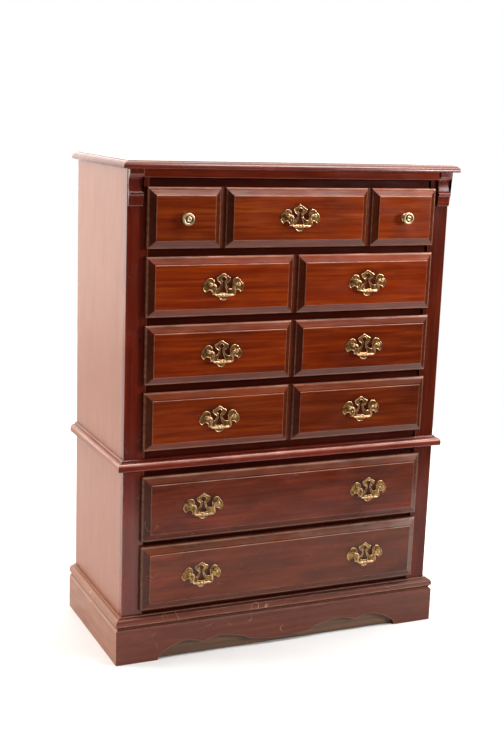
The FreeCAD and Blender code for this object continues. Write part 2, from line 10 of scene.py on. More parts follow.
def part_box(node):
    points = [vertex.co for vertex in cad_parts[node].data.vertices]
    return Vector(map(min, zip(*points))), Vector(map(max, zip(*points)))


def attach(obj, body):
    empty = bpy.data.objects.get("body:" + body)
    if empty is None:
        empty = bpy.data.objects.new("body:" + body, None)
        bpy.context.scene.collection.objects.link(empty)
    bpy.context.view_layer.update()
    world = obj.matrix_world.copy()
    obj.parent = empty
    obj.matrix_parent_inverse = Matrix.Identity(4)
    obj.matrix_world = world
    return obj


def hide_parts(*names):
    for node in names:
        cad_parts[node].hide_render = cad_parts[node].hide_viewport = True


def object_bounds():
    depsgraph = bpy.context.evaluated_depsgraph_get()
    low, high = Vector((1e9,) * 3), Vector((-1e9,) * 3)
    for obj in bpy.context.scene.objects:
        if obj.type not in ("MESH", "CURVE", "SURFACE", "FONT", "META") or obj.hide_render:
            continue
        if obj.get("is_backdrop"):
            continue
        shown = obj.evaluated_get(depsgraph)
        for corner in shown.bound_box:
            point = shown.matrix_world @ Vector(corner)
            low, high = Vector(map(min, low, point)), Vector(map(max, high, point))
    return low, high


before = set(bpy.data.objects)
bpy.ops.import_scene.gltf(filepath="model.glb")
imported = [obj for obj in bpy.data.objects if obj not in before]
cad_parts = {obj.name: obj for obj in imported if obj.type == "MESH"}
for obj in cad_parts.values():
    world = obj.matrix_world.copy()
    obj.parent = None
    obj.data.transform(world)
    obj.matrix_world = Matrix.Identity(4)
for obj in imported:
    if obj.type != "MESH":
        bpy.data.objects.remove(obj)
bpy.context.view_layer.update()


# ---- The studio ----------------------------------------------------------------------------
# A sheet of white paper lies on the floor of a dark room with a bright white wall behind the
# chest and a pale ceiling. One soft box stands in front on the right, a long one hangs overhead,
# and one stands behind on the left and lights only that side.

def linear(colour):
    """An sRGB hex colour as linear red, green, blue and alpha: the sRGB curve undone."""
    parts = np.array([int(colour[i:i + 2], 16) for i in (1, 3, 5)]) / 255
    parts = np.where(parts <= 0.04045, parts / 12.92, ((parts + 0.055) / 1.055) ** 2.4)
    return (*parts.tolist(), 1.0)


def node(tree, kind, inputs=None, **settings):
    """Adds a node. Settings are its own properties, and inputs gives each socket a value, the
    socket that feeds it, or the node whose first output in use feeds it."""
    made = tree.nodes.new("ShaderNode" + kind)
    for name, value in settings.items():
        setattr(made, name, value)
    for name, value in (inputs or {}).items():
        if isinstance(value, bpy.types.Node):
            value = next(output for output in value.outputs if output.enabled)
        if isinstance(value, bpy.types.NodeSocket):
            tree.links.new(value, made.inputs[name])
        else:
            made.inputs[name].default_value = value
    return made


def material(name):
    """A new material with nothing in it yet, its node tree, and the Object coordinates, in
    metres, that its patterns read."""
    made = bpy.data.materials.new(name)
    made.use_nodes = True
    made.node_tree.nodes.clear()
    return made, made.node_tree, node(made.node_tree, "TexCoord").outputs["Object"]


# How bright the room is in front of the chest and at its brightest, and where that lies.
room_front, room_back, brightest = 0.07, 2.7, (0, 0.8, 0.6)

world = bpy.data.worlds.new("studio")
world.use_nodes = True
world.node_tree.nodes.clear()
bpy.context.scene.world = world
air = world.node_tree
towards = node(air, "VectorMath", {0: node(air, "TexCoord").outputs["Generated"],
                                   1: brightest}, operation="DOT_PRODUCT")
glow = node(air, "MapRange", {"Value": towards, "From Min": 0.08, "From Max": 0.8,
                              "To Min": room_front, "To Max": room_back})
backdrop = node(air, "LightPath").outputs["Is Camera Ray"]
strength = node(air, "Mix", {"Factor": backdrop, "A": glow, "B": 1.0})
tint = node(air, "Mix", {"Factor": backdrop, "A": linear("#FFFBF4"), "B": (1, 1, 1, 1)},
            data_type="RGBA")
sky = node(air, "Background", {"Color": tint, "Strength": strength})
node(air, "OutputWorld", {"Surface": sky})
bpy.context.scene.view_settings.view_transform = "Standard"

paper_left, paper_right, paper_front, paper_back = -3.2, 1.7, -1.4, 4.5
paper = bpy.data.meshes.new("paper")
paper.from_pydata([(paper_left, paper_front, 0), (paper_right, paper_front, 0),
                   (paper_right, paper_back, 0), (paper_left, paper_back, 0)], [], [(0, 1, 2, 3)])
floor = bpy.data.objects.new("floor", paper)
bpy.context.collection.objects.link(floor)
floor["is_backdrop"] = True

# Uncoated paper: a matt white ground with hardly a shine, and clouds too faint to notice.
paper_white, tree, place = material("matt white paper")
mottle = node(tree, "TexNoise", {"Vector": place, "Scale": 9.0})
shades = node(tree, "Mix", {"Factor": mottle, "A": linear("#E4E4E4"), "B": linear("#EAEAEA")},
              data_type="RGBA")
matt = node(tree, "BsdfPrincipled", {"Base Color": shades, "Roughness": 0.9,
                                     "Specular IOR Level": 0.1})
node(tree, "OutputMaterial", {"Surface": matt})
paper.materials.append(paper_white)


def soft_box(name, place, aim, width, height, watts):
    """An area lamp at a place, turned to face its aim, and not seen by the camera itself."""
    lamp = bpy.data.lights.new(name, "AREA")
    lamp.shape, lamp.size, lamp.size_y, lamp.energy = "RECTANGLE", width, height, watts
    stand = bpy.data.objects.new(name, lamp)
    stand.location = place
    stand.rotation_euler = (Vector(aim) - Vector(place)).to_track_quat("-Z", "Y").to_euler()
    stand.visible_camera = False
    bpy.context.collection.objects.link(stand)


soft_box("soft_box", (2.6, -2.4, 1.75), (0, 0, 0.7), 0.8, 0.8, 89)
soft_box("soft_box_above", (1.0, -0.8, 2.9), (1.0, -0.4, 0.9), 1.8, 0.6, 56)
soft_box("soft_box_left", (-2.6, 0.9, 1.9), (-0.4, 0, 0.9), 1.2, 1.2, 45)

# The lens is 61 mm on a 36 mm sensor, held a little out of level.
lens, sensor, camera_place = 60.67, 36, Vector((-1.45, -3.15035, 1.449))
azimuth, elevation, roll = (math.radians(a) for a in (-24.36, 12.19, 2.08))
back = Vector((math.sin(azimuth) * math.cos(elevation),
               -math.cos(azimuth) * math.cos(elevation), math.sin(elevation)))
level = (-back).cross(Vector((0, 0, 1))).normalized()
upright = back.cross(level)
right = level * math.cos(roll) + upright * math.sin(roll)
camera = bpy.data.cameras.new("camera")
camera.lens, camera.sensor_width = lens, sensor
viewer = bpy.data.objects.new("camera", camera)
viewer.matrix_world = Matrix.LocRotScale(
    camera_place, Matrix((right, back.cross(right), back)).transposed(), None)
bpy.context.collection.objects.link(viewer)
bpy.context.scene.camera = viewer


# ---- The plinth ----------------------------------------------------------------------------
# Four plain softwood boards and corner blocks make a frame that carries the case. Stained
# boards face it on three sides, mitred at the front, and the front one is cut to a scallop.

ACROSS, DEEP, UPRIGHT = 0, 1, 2
half_case, case_depth, case_top = 457.2, 417.5, 1284.4
plinth_height, plinth_proud, skin, chamfer = 98.0, 18.5, 12.7, 5.0
frame_board, foot_gap, block_leg, block_height = 19.0, 1.5, 42.0, 60.0
case_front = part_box("left_stile")[0].y


def bend(start, through, end, count=8):
    """Places on the arc through three places, which are complex numbers: the centre is where the
    chords' bisectors cross, and the first place is turned about it in equal steps."""
    w = (end - start) / (through - start)
    centre = start + (through - start) * (w - abs(w) ** 2) / (2j * w.imag)
    sweep = np.angle((end - centre) / (start - centre))
    middle = np.angle((through - centre) / (start - centre))
    if not min(0, sweep) <= middle <= max(0, sweep):
        sweep -= math.copysign(2 * math.pi, sweep)
    return centre + (start - centre) * np.exp(1j * sweep * np.linspace(0, 1, count + 1))


def outline(start, *steps, count=8):
    """A run of places. A step is a corner, or a place passed through on an arc with its end."""
    run = [np.array([start])]
    for step in steps:
        arc = isinstance(step, tuple)
        run.append(bend(run[-1][-1], *step, count)[1:] if arc else np.array([step]))
    return np.concatenate(run)


def sense(shape):
    """1 where a closed outline runs anticlockwise, and -1 where it runs clockwise."""
    return np.sign(np.imag(np.sum(np.conj(shape) * np.roll(shape, -1))))


def eased(shape, radius, fade=1.2, turn=24):
    """A closed outline with its sharp corners worn round, and how worn each place is: 1 on an
    outer corner, -1 in an inner one and 0 on the flat. A corner becomes a parabola that leaves
    its two sides at the radius, with one more place on each side where the wear ends. Both stay
    short of the middle of a short side."""
    into, out = np.roll(shape, 1) - shape, np.roll(shape, -1) - shape
    shorter = np.minimum(abs(into), abs(out))
    bendy = np.angle(-out / into)
    sharp = abs(np.degrees(bendy)) > turn
    reach = np.minimum(radius, 0.3 * shorter)
    far = np.minimum(reach + fade, 0.49 * shorter)
    into, out = into / abs(into), out / abs(out)
    u = np.array([0, 0.25, 0.5, 0.75, 1])[:, None]
    curve = (1 - u) ** 2 * into * reach + u ** 2 * out * reach
    places = np.concatenate([[into * far], curve, [out * far]]) * sharp + shape
    wear_and_painted_light = np.array([0, 0.7, 1, 1, 1, 0.7, 0])[:, None] * sharp * np.sign(bendy) * sense(shape)
    places, wear_and_painted_light = places.T.ravel(), wear_and_painted_light.T.ravel()
    kept = abs(places - np.roll(places, 1)) > 1e-6
    return places[kept], wear_and_painted_light[kept]


def in_space(shape, axes, third):
    """An outline's places in space: real part, imaginary part and a third number, each on its
    own axis."""
    places = np.zeros((*np.broadcast(shape, third).shape, 3))
    places[..., axes[0]], places[..., axes[1]] = np.real(shape), np.imag(shape)
    places[..., 3 - axes[0] - axes[1]] = third
    return places


def loft(rings, wear_and_painted_light=0.0):
    """A closed shell: place j of ring i is joined to place j of ring i + 1, and the first and the
    last ring are each filled with one flat face. A shell is its places, its faces and its wear."""
    rings = np.asarray(rings, float)
    count, around = rings.shape[:2]
    at = np.arange(count * around).reshape(count, around)
    near, far = at[:-1], at[1:]
    walls = np.stack([near, np.roll(near, -1, 1), np.roll(far, -1, 1), far], -1).reshape(-1, 4)
    faces = walls.tolist() + [at[0][::-1].tolist(), at[-1].tolist()]
    return rings.reshape(-1, 3), faces, np.broadcast_to(wear_and_painted_light, (count, around)).ravel()


def board(low, high, along, ease=0.8):
    """A planed board with eased edges: a rectangle with rounded corners, carried along the grain
    and drawn in a little at both ends."""
    low, high = np.array(low, float), np.array(high, float)
    axes = [i for i in range(3) if i != along]
    half, middle = (high - low)[axes] / 2, (high + low)[axes] / 2
    fade = min(1.5, half.min() - ease)
    angle = np.linspace(0, math.pi / 2, 5)
    corner = np.concatenate([[-1j * (ease + fade)], -ease * (1 + 1j) + ease * np.exp(1j * angle),
                             [-(ease + fade)]])
    corner_wear = np.tile([0, 0.3, 0.5, 0.5, 0.5, 0.3, 0], 4)
    # Each ring at an end: how far along the board, how far drawn in, and how rubbed.
    end = np.array([[0, ease, 1], [0.3 * ease, 0.3 * ease, 1], [ease, 0, 0.7], [ease + fade, 0, 0]])
    steps = [(low[along] + out, inset, rub) for out, inset, rub in end]
    steps += [(high[along] - out, inset, rub) for out, inset, rub in end[::-1]]
    rings = []
    for place, inset, rub in steps:
        a, b = half - inset
        ring = np.concatenate([a + 1j * b + corner, -a + 1j * b - np.conj(corner[::-1]),
                               -a - 1j * b - corner, a - 1j * b + np.conj(corner[::-1])])
        rings.append(in_space(ring + middle[0] + 1j * middle[1], axes, place))
    return loft(rings, [np.maximum(corner_wear, rub) for place, inset, rub in steps])


def on_side(side, near, far):
    """Two distances from the middle as places on its left, -1, or its right, 1, lower first."""
    return sorted((side * near, side * far))


def face_outwards(mesh):
    """Turns the faces of closed shells outwards."""
    shape = bmesh.new()
    shape.from_mesh(mesh)
    bmesh.ops.recalc_face_normals(shape, faces=shape.faces)
    shape.to_mesh(mesh)
    shape.free()


def make(name, body, shells, finish, stands_for=(), sharp=30):
    """One piece from closed shells in millimetres, with Y from the front of the case. Each shell
    has its own finish where finish is a list. Wear, with painted highlight and shade, is kept as
    an attribute of the mesh, and edges that turn by more than the sharp angle, in degrees, stay crisp."""
    finishes = finish if isinstance(finish, list) else [finish] * len(shells)
    faces, start = [], 0
    for points, shell_faces, wear_and_painted_light in shells:
        faces += [[k + start for k in face] for face in shell_faces]
        start += len(points)
    mesh = bpy.data.meshes.new(name)
    points = np.concatenate([shell[0] for shell in shells])
    mesh.from_pydata(points * 0.001 + [0, case_front, 0], [], faces)
    mesh.attributes.new("wear_and_painted_light", "FLOAT", "POINT").data.foreach_set(
        "value", np.concatenate([shell[2] for shell in shells]))
    for kind in dict.fromkeys(finishes):
        mesh.materials.append(kind)
    order = [mesh.materials.find(kind.name) for kind in finishes]
    mesh.polygons.foreach_set(
        "material_index", np.repeat(order, [len(shell[1]) for shell in shells]).tolist())
    face_outwards(mesh)
    mesh.polygons.foreach_set("use_smooth", [True] * len(mesh.polygons))
    mesh.set_sharp_from_angle(angle=math.radians(sharp))
    piece = bpy.data.objects.new(name, mesh)
    bpy.context.collection.objects.link(piece)
    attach(piece, body)
    if stands_for:
        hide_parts(*stands_for)
    return piece


def along_grain(tree, place, along, length, width, detail=3.0, distortion=0.0, shift=0.0):
    """Noise drawn out along the grain, with lumps of about this length and width in metres."""
    scale = [1 / width] * 3
    scale[along] = 1 / length
    moved = node(tree, "Mapping", {"Vector": place, "Location": (shift, shift, shift),
                                   "Scale": scale})
    return node(tree, "TexNoise", {"Vector": moved, "Scale": 1.0, "Detail": detail,
                                   "Distortion": distortion})


def pull_grime_and_shade(tree, place, across, level):
    """The share of dark colour round the pulls: grime that hands leave, and painted shade that
    the plates and bails cast, so the oval sits a little low. It fades with the distance from an
    oval's centre, which lies this far to the left and the right and at this level."""
    half_width, half_height = 0.052, 0.034
    spot = node(tree, "SeparateXYZ", {0: place})
    far = node(tree, "Math", {0: spot.outputs["X"]}, operation="ABSOLUTE")
    aside = node(tree, "Math", {0: far, 1: across}, operation="SUBTRACT")
    above = node(tree, "Math", {0: spot.outputs["Z"], 1: level}, operation="SUBTRACT")
    beside = node(tree, "CombineXYZ", {"X": aside, "Y": above})
    oval = node(tree, "VectorMath", {0: beside, 1: (1 / half_width, 1 / half_height, 1)},
                operation="MULTIPLY")
    reach = node(tree, "VectorMath", {0: oval}, operation="LENGTH")
    return node(tree, "MapRange", {"Value": reach, "From Min": 0.55, "From Max": 1.2, "To Min": 0.7,
                                   "To Max": 0.0}, interpolation_type="SMOOTHSTEP")


def scratch_marks(tree, place, amount):
    """The share of pale scratches: thin lines where a slowly turning noise crosses its middle,
    kept only in patches about 40 mm across. Real ones are half as wide, too fine to show."""
    curl = node(tree, "TexNoise", {"Vector": place, "Scale": 6.0, "Detail": 3.0})
    line = node(tree, "Math", {0: curl, 1: 0.5, 2: 0.0012}, operation="COMPARE")
    where = node(tree, "TexNoise", {"Vector": place, "Scale": 23.0, "Detail": 1.0})
    patch = node(tree, "MapRange", {"Value": where, "From Min": 0.66 - 0.1 * amount,
                                    "From Max": 0.74 - 0.1 * amount, "To Max": amount})
    return node(tree, "Math", {0: line, 1: patch}, operation="MULTIPLY")


def bruise_marks(tree, place, centre):
    """The shares of a bruise's pale rim and dark pit: the distance from its centre, measured on
    an oval 11 mm long and 27 mm high, which reaches 17 mm into the board, with noise added to
    make its edge ragged."""
    per_metre = (60, 190, 75)
    away = node(tree, "VectorMath", {0: place, 1: centre}, operation="SUBTRACT")
    oval = node(tree, "VectorMath", {0: away, 1: per_metre}, operation="MULTIPLY")
    reach = node(tree, "VectorMath", {0: oval}, operation="LENGTH")
    ragged = node(tree, "TexNoise", {"Vector": place, "Scale": 190.0, "Detail": 3.0})
    edge = node(tree, "Math", {0: reach, 1: ragged}, operation="ADD")
    ring = node(tree, "Math", {0: edge, 1: 1.6, 2: 0.14}, operation="COMPARE")
    rim = node(tree, "Math", {0: ring, 1: 0.45}, operation="MULTIPLY")
    pit = node(tree, "MapRange", {"Value": edge, "From Min": 1.5, "From Max": 1.1, "To Max": 0.85})
    return rim, pit


def stained_wood(name, along, tones, worn_and_highlight, roughness=0.33, dust=0.0, scratches=0.0, glaze_and_shade=0.0,
                 pull_grime_and_shade_place=None, lustre=0.5, variety=1.0, drift=0.0, bruise=None):
    """Cherry-stained hardwood or veneer, sprayed with satin lacquer: a warm figured red-brown
    under a soft gloss. Its figure is noise drawn out along the grain, 11 mm wide and 0.25 m
    long, with flecks 1.8 mm wide: real pores are ten times finer, too fine to show. It is
    blotched by its variety, and grows paler by its drift from left to right. Over that lie a
    dark glaze in the bevels, which is also painted shade, grime and painted shade round the
    pulls, dust, scratches and a bruise, where a share or a place is given. Edges are rubbed
    pale, which on the drawer fronts and the waist's round is also a painted highlight, and inner
    corners are dark."""
    finish, tree, place = material(name)
    figure = along_grain(tree, place, along, 0.25, 0.011, 4.0, 0.5)
    flecks = along_grain(tree, place, along, 0.035, 0.0018, 2.0, 0.0, 3.7)
    blotch = along_grain(tree, place, along, 0.16, 0.05, 3.0, 0.6, 9.1)
    grain = node(tree, "MapRange", {"Value": figure, "From Min": 0.24, "From Max": 0.76})
    colours = node(tree, "ValToRGB", {"Fac": grain})
    stops = colours.color_ramp.elements
    stops.new(0.5)
    for stop, tone in zip(stops, tones):
        stop.color = linear(tone)
    fine = node(tree, "MapRange", {"Value": flecks, "From Min": 0.35, "From Max": 0.65,
                                   "To Min": 0.93, "To Max": 1.04})
    broad = node(tree, "MapRange", {"Value": blotch, "From Min": 0.3, "From Max": 0.7,
                                    "To Min": 1 - 0.24 * variety, "To Max": 1 + 0.18 * variety})
    spot = node(tree, "SeparateXYZ", {0: place})
    sideways = node(tree, "MapRange", {"Value": spot.outputs["X"], "From Min": -0.4,
                                       "From Max": 0.4, "To Min": 1 - drift, "To Max": 1 + drift})
    depth = node(tree, "Math", {0: fine, 1: broad}, operation="MULTIPLY")
    depth = node(tree, "Math", {0: depth, 1: sideways}, operation="MULTIPLY")
    colour = node(tree, "VectorMath", {0: colours, "Scale": depth}, operation="SCALE")

    # What lies over the stain, from the first coat to the last mark: its share and its colour.
    layers = []
    # The glaze layer: a dark glaze in the bevels, its share also painted shade on the bevels facing
    # sideways and down.
    if glaze_and_shade:
        flank = node(tree, "Attribute", attribute_name="flank").outputs["Fac"]
        layers.append((node(tree, "Math", {0: flank, 1: glaze_and_shade}, operation="MULTIPLY"), "#3E180A"))
    # Dark colour round the pulls: grime from hands, and painted shade cast by the plates and bails.
    if pull_grime_and_shade_place:
        layers.append((pull_grime_and_shade(tree, place, *pull_grime_and_shade_place), "#2A0C04"))
    if dust:
        cloud = along_grain(tree, place, along, 0.2, 0.12, 4.0, 0.0, 5.3)
        film = node(tree, "MapRange", {"Value": cloud, "From Min": 0.3, "From Max": 0.75,
                                       "To Min": 0.35 * dust, "To Max": dust})
        layers.append((film, "#96735C"))
    if scratches:
        layers.append((scratch_marks(tree, place, scratches), "#C49A7C"))
    if bruise:
        layers += zip(bruise_marks(tree, place, bruise), ("#D9B79C", "#3A1C10"))
    # Wear paints edges pale: rubbing, and on the drawer fronts and the waist's round also a painted
    # highlight.
    wear_and_painted_light = node(tree, "Attribute", attribute_name="wear_and_painted_light").outputs["Fac"]
    patchy = along_grain(tree, place, along, 0.06, 0.012, 3.0, 0.0, 1.9)
    rubbed_and_highlight = node(tree, "MapRange", {"Value": patchy, "From Min": 0.3, "From Max": 0.62,
                                     "To Min": 0.3, "To Max": 0.8})
    for share, tone in ((rubbed_and_highlight, worn_and_highlight), (-0.75, "#1C0A07")):
        layers.append((node(tree, "Math", {0: wear_and_painted_light, 1: share}, operation="MULTIPLY",
                            use_clamp=True), tone))
    for share, tone in layers:
        colour = node(tree, "Mix", {"Factor": share, "A": colour, "B": linear(tone)},
                      data_type="RGBA")

    patches = along_grain(tree, place, along, 0.08, 0.03, 3.0, 0.0, 7.7)
    gloss = node(tree, "MapRange", {"Value": patches, "From Min": 0.3, "From Max": 0.7,
                                    "To Min": roughness - 0.05 * variety,
                                    "To Max": roughness + 0.08 * variety + 0.25 * dust})
    relief = node(tree, "Bump", {"Height": flecks, "Strength": 0.25, "Distance": 0.0002})
    lacquer = node(tree, "BsdfPrincipled", {"Base Color": colour, "Roughness": gloss,
                                            "Normal": relief, "Specular IOR Level": lustre})
    node(tree, "OutputMaterial", {"Surface": lacquer})
    return finish


# The plinth is the dullest wood of the chest: dusty, scuffed by feet, and bruised on one side.
plinth_worn = "#B08A72"
plinth_across = stained_wood("stained poplar plinth, run across", ACROSS,
                             ("#4A1A12", "#5A2419", "#683024"), plinth_worn, 0.26, dust=0.14,
                             scratches=0.9, lustre=0.22, variety=0.5, drift=-0.15)
# The side boards are painted paler than the front: dust, and painted light of the lit side.
plinth_deep_dusty_and_lit = stained_wood("stained poplar plinth, run back", DEEP,
                           ("#7C4226", "#884C2E", "#925636"), plinth_worn, 0.34, dust=0.2,
                           scratches=0.3, lustre=0.35, variety=0.5,
                           bruise=(-0.4757, 0.029, 0.105))


def plain_wood(name, along, tones, roughness=0.6, band=0.006):
    """Bare planed wood: dull, with pale early wood and darker late wood as drawn-out noise in
    bands, 6 mm wide on flat-sawn softwood, and flecks 1.4 mm wide. Real flecks are finer, too
    fine to show."""
    finish, tree, place = material(name)
    bands = along_grain(tree, place, along, 0.7, 2 * band, 5.0, 0.8)
    flecks = along_grain(tree, place, along, 1 / 30, 1 / 700, 2.0)
    colours = node(tree, "ValToRGB", {"Fac": bands})
    stops = colours.color_ramp.elements
    for stop, position, tone in zip(stops, (0.3, 0.7), tones):
        stop.position, stop.color = position, linear(tone)
    fine = node(tree, "MapRange", {"Value": flecks, "From Min": 0.35, "From Max": 0.65,
                                   "To Min": 0.82, "To Max": 1.08})
    colour = node(tree, "VectorMath", {0: colours, "Scale": fine}, operation="SCALE")
    gloss = node(tree, "MapRange", {"Value": bands, "To Min": roughness - 0.08,
                                    "To Max": roughness + 0.12})
    relief = node(tree, "Bump", {"Height": flecks, "Strength": 0.4, "Distance": 0.0003})
    bare = node(tree, "BsdfPrincipled", {"Base Color": colour, "Roughness": gloss,
                                         "Normal": relief})
    node(tree, "OutputMaterial", {"Surface": bare})
    return finish


# Pine that has stood unfinished for years: brown, dull and open-grained.
pine_across, pine_deep, pine_upright = (
    plain_wood("bare pine, " + run, along, ("#4E3522", "#735038"))
    for run, along in (("run across", ACROSS), ("run back", DEEP), ("upright", UPRIGHT)))

reach = half_case + plinth_proud
half_frame = reach - skin
frame_front, frame_back = skin - plinth_proud, case_depth
frame_shells = [board((-half_frame, y, foot_gap), (half_frame, y + frame_board, plinth_height), ACROSS)
                for y in (frame_front, frame_back - frame_board)]
for side in (-1, 1):
    left, right = on_side(side, half_frame - frame_board, half_frame)
    frame_shells.append(board((left, frame_front + frame_board, foot_gap),
                              (right, frame_back - frame_board, plinth_height), DEEP))
make("plinth_frame_boards", "case", frame_shells,
     [pine_across, pine_across, pine_deep, pine_deep], ["plinth_frame"])

block_shells = []
block_heights = np.array([plinth_height - block_height, plinth_height])[:, None]
for side in (-1, 1):
    for y, turn in ((frame_front + frame_board, 1), (frame_back - frame_board, -1)):
        corner = side * (half_frame - frame_board) + 1j * y
        wedge, wear_and_painted_light = eased(np.array([corner, corner - side * block_leg,
                                      corner + 1j * turn * block_leg]), 0.8)
        block_shells.append(loft(in_space(wedge, (0, 1), block_heights), wear_and_painted_light))
make("corner_glue_blocks", "case", block_shells, pine_upright, ["glue_blocks"])

# The scallop, from the right foot to the middle: a rising foot, a cusp, a second hump and a dip.
scallop_half, scallop_rise = 359.0, 45.5
scallop = outline(1 + 0j, (0.933 + 0.593j, 0.805 + 1j), (0.719 + 0.923j, 0.652 + 0.758j),
                  (0.585 + 0.89j, 0.501 + 0.989j), (0.39 + 0.879j, 0.292 + 0.67j),
                  (0.195 + 0.428j, 0.325j), count=14)
scallop = scallop.real * scallop_half + 1j * scallop.imag * scallop_rise
scallop = np.concatenate([-np.conj(scallop), scallop[::-1][1:]])


def apron_ring(depth, inset):
    """The apron's outline at a depth from its face: its ends follow the mitre, its top follows
    the chamfer, and the scallop and the foot are drawn in by the easing of their edge."""
    end = reach - depth
    top = plinth_height - max(0, chamfer - depth)
    along = np.roll(scallop, -1) - np.roll(scallop, 1)
    along[[0, -1]] = along[[1, -2]]
    cut = scallop + 1j * inset * along / abs(along)
    ring = np.concatenate([[-end + 1j * inset], cut, [end + 1j * inset, end + 1j * top,
                                                      -end + 1j * top]])
    return in_space(ring, (0, 2), depth - plinth_proud)


# Each ring from the face back: its depth, how far it is drawn in, and how rubbed it is.
apron_steps = [(0, 1.2, 0), (0, 0.8, 1), (0.25, 0.25, 1), (0.8, 0, 1), (3, 0, 0),
               (chamfer, 0, 0), (skin, 0, 0)]
below_top = np.ones(len(scallop) + 4)
below_top[-2:] = 0
make("front_apron_board", "case",
     [loft([apron_ring(depth, inset) for depth, inset, rub in apron_steps],
           [rub * below_top for depth, inset, rub in apron_steps])],
     plinth_across, ["front_apron"])


def plinth_side(side):
    """A plain side board: its outline in side view, its front end following the mitre and its
    top the chamfer, at depths from its outer face inwards."""
    rings, wear_and_painted_light = [], []
    for depth, inset, rub in ((0, 2.8, 0), (0, 0.8, 0.6), (0.25, 0.25, 1), (0.8, 0, 0.6),
                              (2.6, 0, 0), (chamfer, 0, 0), (skin, 0, 0)):
        top = plinth_height - max(0, chamfer - depth)
        start, end = depth - plinth_proud + inset, case_depth - inset
        shape = np.array([start + 1j * inset, end + 1j * inset, end + 1j * top, start + 1j * top])
        rings.append(in_space(shape, (1, 2), side * (reach - depth)))
        wear_and_painted_light.append([rub] * 4)
    return loft(rings, wear_and_painted_light)


make("plinth_side_boards", "case", [plinth_side(-1), plinth_side(1)], plinth_deep_dusty_and_lit,
     ["plinth_sides"])


# ---- The mouldings -------------------------------------------------------------------------
# Two solid mouldings run round the front and the sides, mitred at the front corners: a square
# fillet over an undercut nose at the foot, and a bead, a quirk and a broad round at the waist.

waist_bottom, waist_height = 523.0, 28.0
base_height = 29.5


def mitred_lengths(shape, wear_and_painted_light):
    """The front and the two side lengths from a section, real part outwards and imaginary part
    up. Each place of the section runs parallel to the case, and ends on the mitre, where dirt
    has gathered in the joint."""
    out, up = shape.real, shape.imag
    mitre = np.minimum(wear_and_painted_light, -0.7)
    run = np.concatenate([[0, 0.0015], np.linspace(0.04, 0.96, 12), [0.9985, 1]])[:, None]
    front = in_space((2 * run - 1) * (half_case + out) - 1j * out, (0, 1), up)
    lengths = [loft(front, np.where((run == 0) | (run == 1), mitre, wear_and_painted_light))]
    run = np.concatenate([[0, 0.003], np.linspace(0.08, 1, 8)])[:, None]
    for side in (-1, 1):
        back = in_space(side * (half_case + out) + 1j * (run * (case_depth + out) - out), (0, 1), up)
        lengths.append(loft(back, np.where(run == 0, mitre, wear_and_painted_light)))
    return lengths


# The front lengths are glossy and red. The side lengths catch more dust, have faded, and are painted
# lighter as the lit side.
moulding_across = stained_wood("stained hardwood moulding, run across", ACROSS,
                               ("#57180B", "#692010", "#7A2A17"), "#DA9884", 0.2)
moulding_deep_faded_and_lit = stained_wood("stained hardwood moulding, run back", DEEP,
                             ("#703019", "#7D3A22", "#89442C"), "#B9866C", 0.34, dust=0.05,
                             lustre=0.4)

waist = outline(0j, 14, (16.9 + 1.1j, 18 + 4.5j), 18 + 10.1j, (14.75 + 18.9j, 6.8 + 22.5j),
                5.5 + 22.5j, (4.3 + 26.35j, 1.1 + 28j), 1j * waist_height)
waist, waist_wear_and_highlight = eased(waist, 0.5)
# The broad round is painted pale along its middle: rubbing where hands and cloths pass over it, and a
# painted highlight.
round_rub_and_highlight, round_rub_and_highlight_reach = 15.2 + 17.5j, 3.0
waist_wear_and_highlight = np.maximum(waist_wear_and_highlight, 1.1 * np.exp(-abs((waist - round_rub_and_highlight) / round_rub_and_highlight_reach) ** 2))
make("waist_moulding_lengths", "case", mitred_lengths(waist + 1j * waist_bottom, waist_wear_and_highlight),
     [moulding_across, moulding_deep_faded_and_lit, moulding_deep_faded_and_lit], ["waist_moulding"])
base = outline(0j, 12.5, 12.5 + 2j, 18.5 + 8.85j, 18.5 + 13.6j, (15.4 + 22.55j, 7.8 + 26.2j),
               6.5 + 26.2j, 6.5 + 1j * base_height, 1j * base_height)
make("base_moulding_lengths", "case", mitred_lengths(*eased(base + 1j * plinth_height, 0.6)),
     [plinth_across, plinth_deep_dusty_and_lit, plinth_deep_dusty_and_lit], ["base_moulding"])


# ---- The case ------------------------------------------------------------------------------
# Veneered side panels, solid stiles down the front corners whose edges show on the sides,
# rails between the drawers, and a thin hardboard back stapled into rabbets.

stile_width, stile_thick, side_thick = 56.0, 19.0, 16.0
back_thick, back_set_in, rabbet, back_play = 4.8, 0.4, 8.0, 0.3
rail_setback, rail_thick, top_rail_height = 6.0, 19.0, 20.0
half_opening, inside = half_case - stile_width, half_case - side_thick
back_y = case_depth - back_thick

# The sides are an even pale brown: faded in the light, and painted lighter as the lit side.
# The stiles are redder, the right one painted darker as shade, and the rails are painted dark
# as the shade between the drawers.
# The sides' tones are painted paler, partly as the lit side.
side_wood_faded_and_lit = stained_wood("cherry veneer, satin lacquer", UPRIGHT,
                         ("#864A2E", "#8B4D32", "#915137"), "#CDA493", 0.34, dust=0.05, variety=0.25)
stile_wood = stained_wood("stained hardwood, upright", UPRIGHT,
                          ("#581507", "#661B08", "#75230B"), "#C08F7C", 0.21)
# The right stile's tones are painted darker as shade.
right_stile_shaded_wood = stained_wood("stained hardwood, upright, painted darker as shade", UPRIGHT,
                                ("#45150A", "#521B0D", "#5F2211"), "#C08F7C", 0.18, lustre=0.18)
# The rails' tones are painted dark as the shade between the drawers.
rail_shaded_wood = stained_wood("stained hardwood, run across", ACROSS,
                         ("#390D05", "#431106", "#4E1508"), "#C08F7C", 0.18, lustre=0.18)

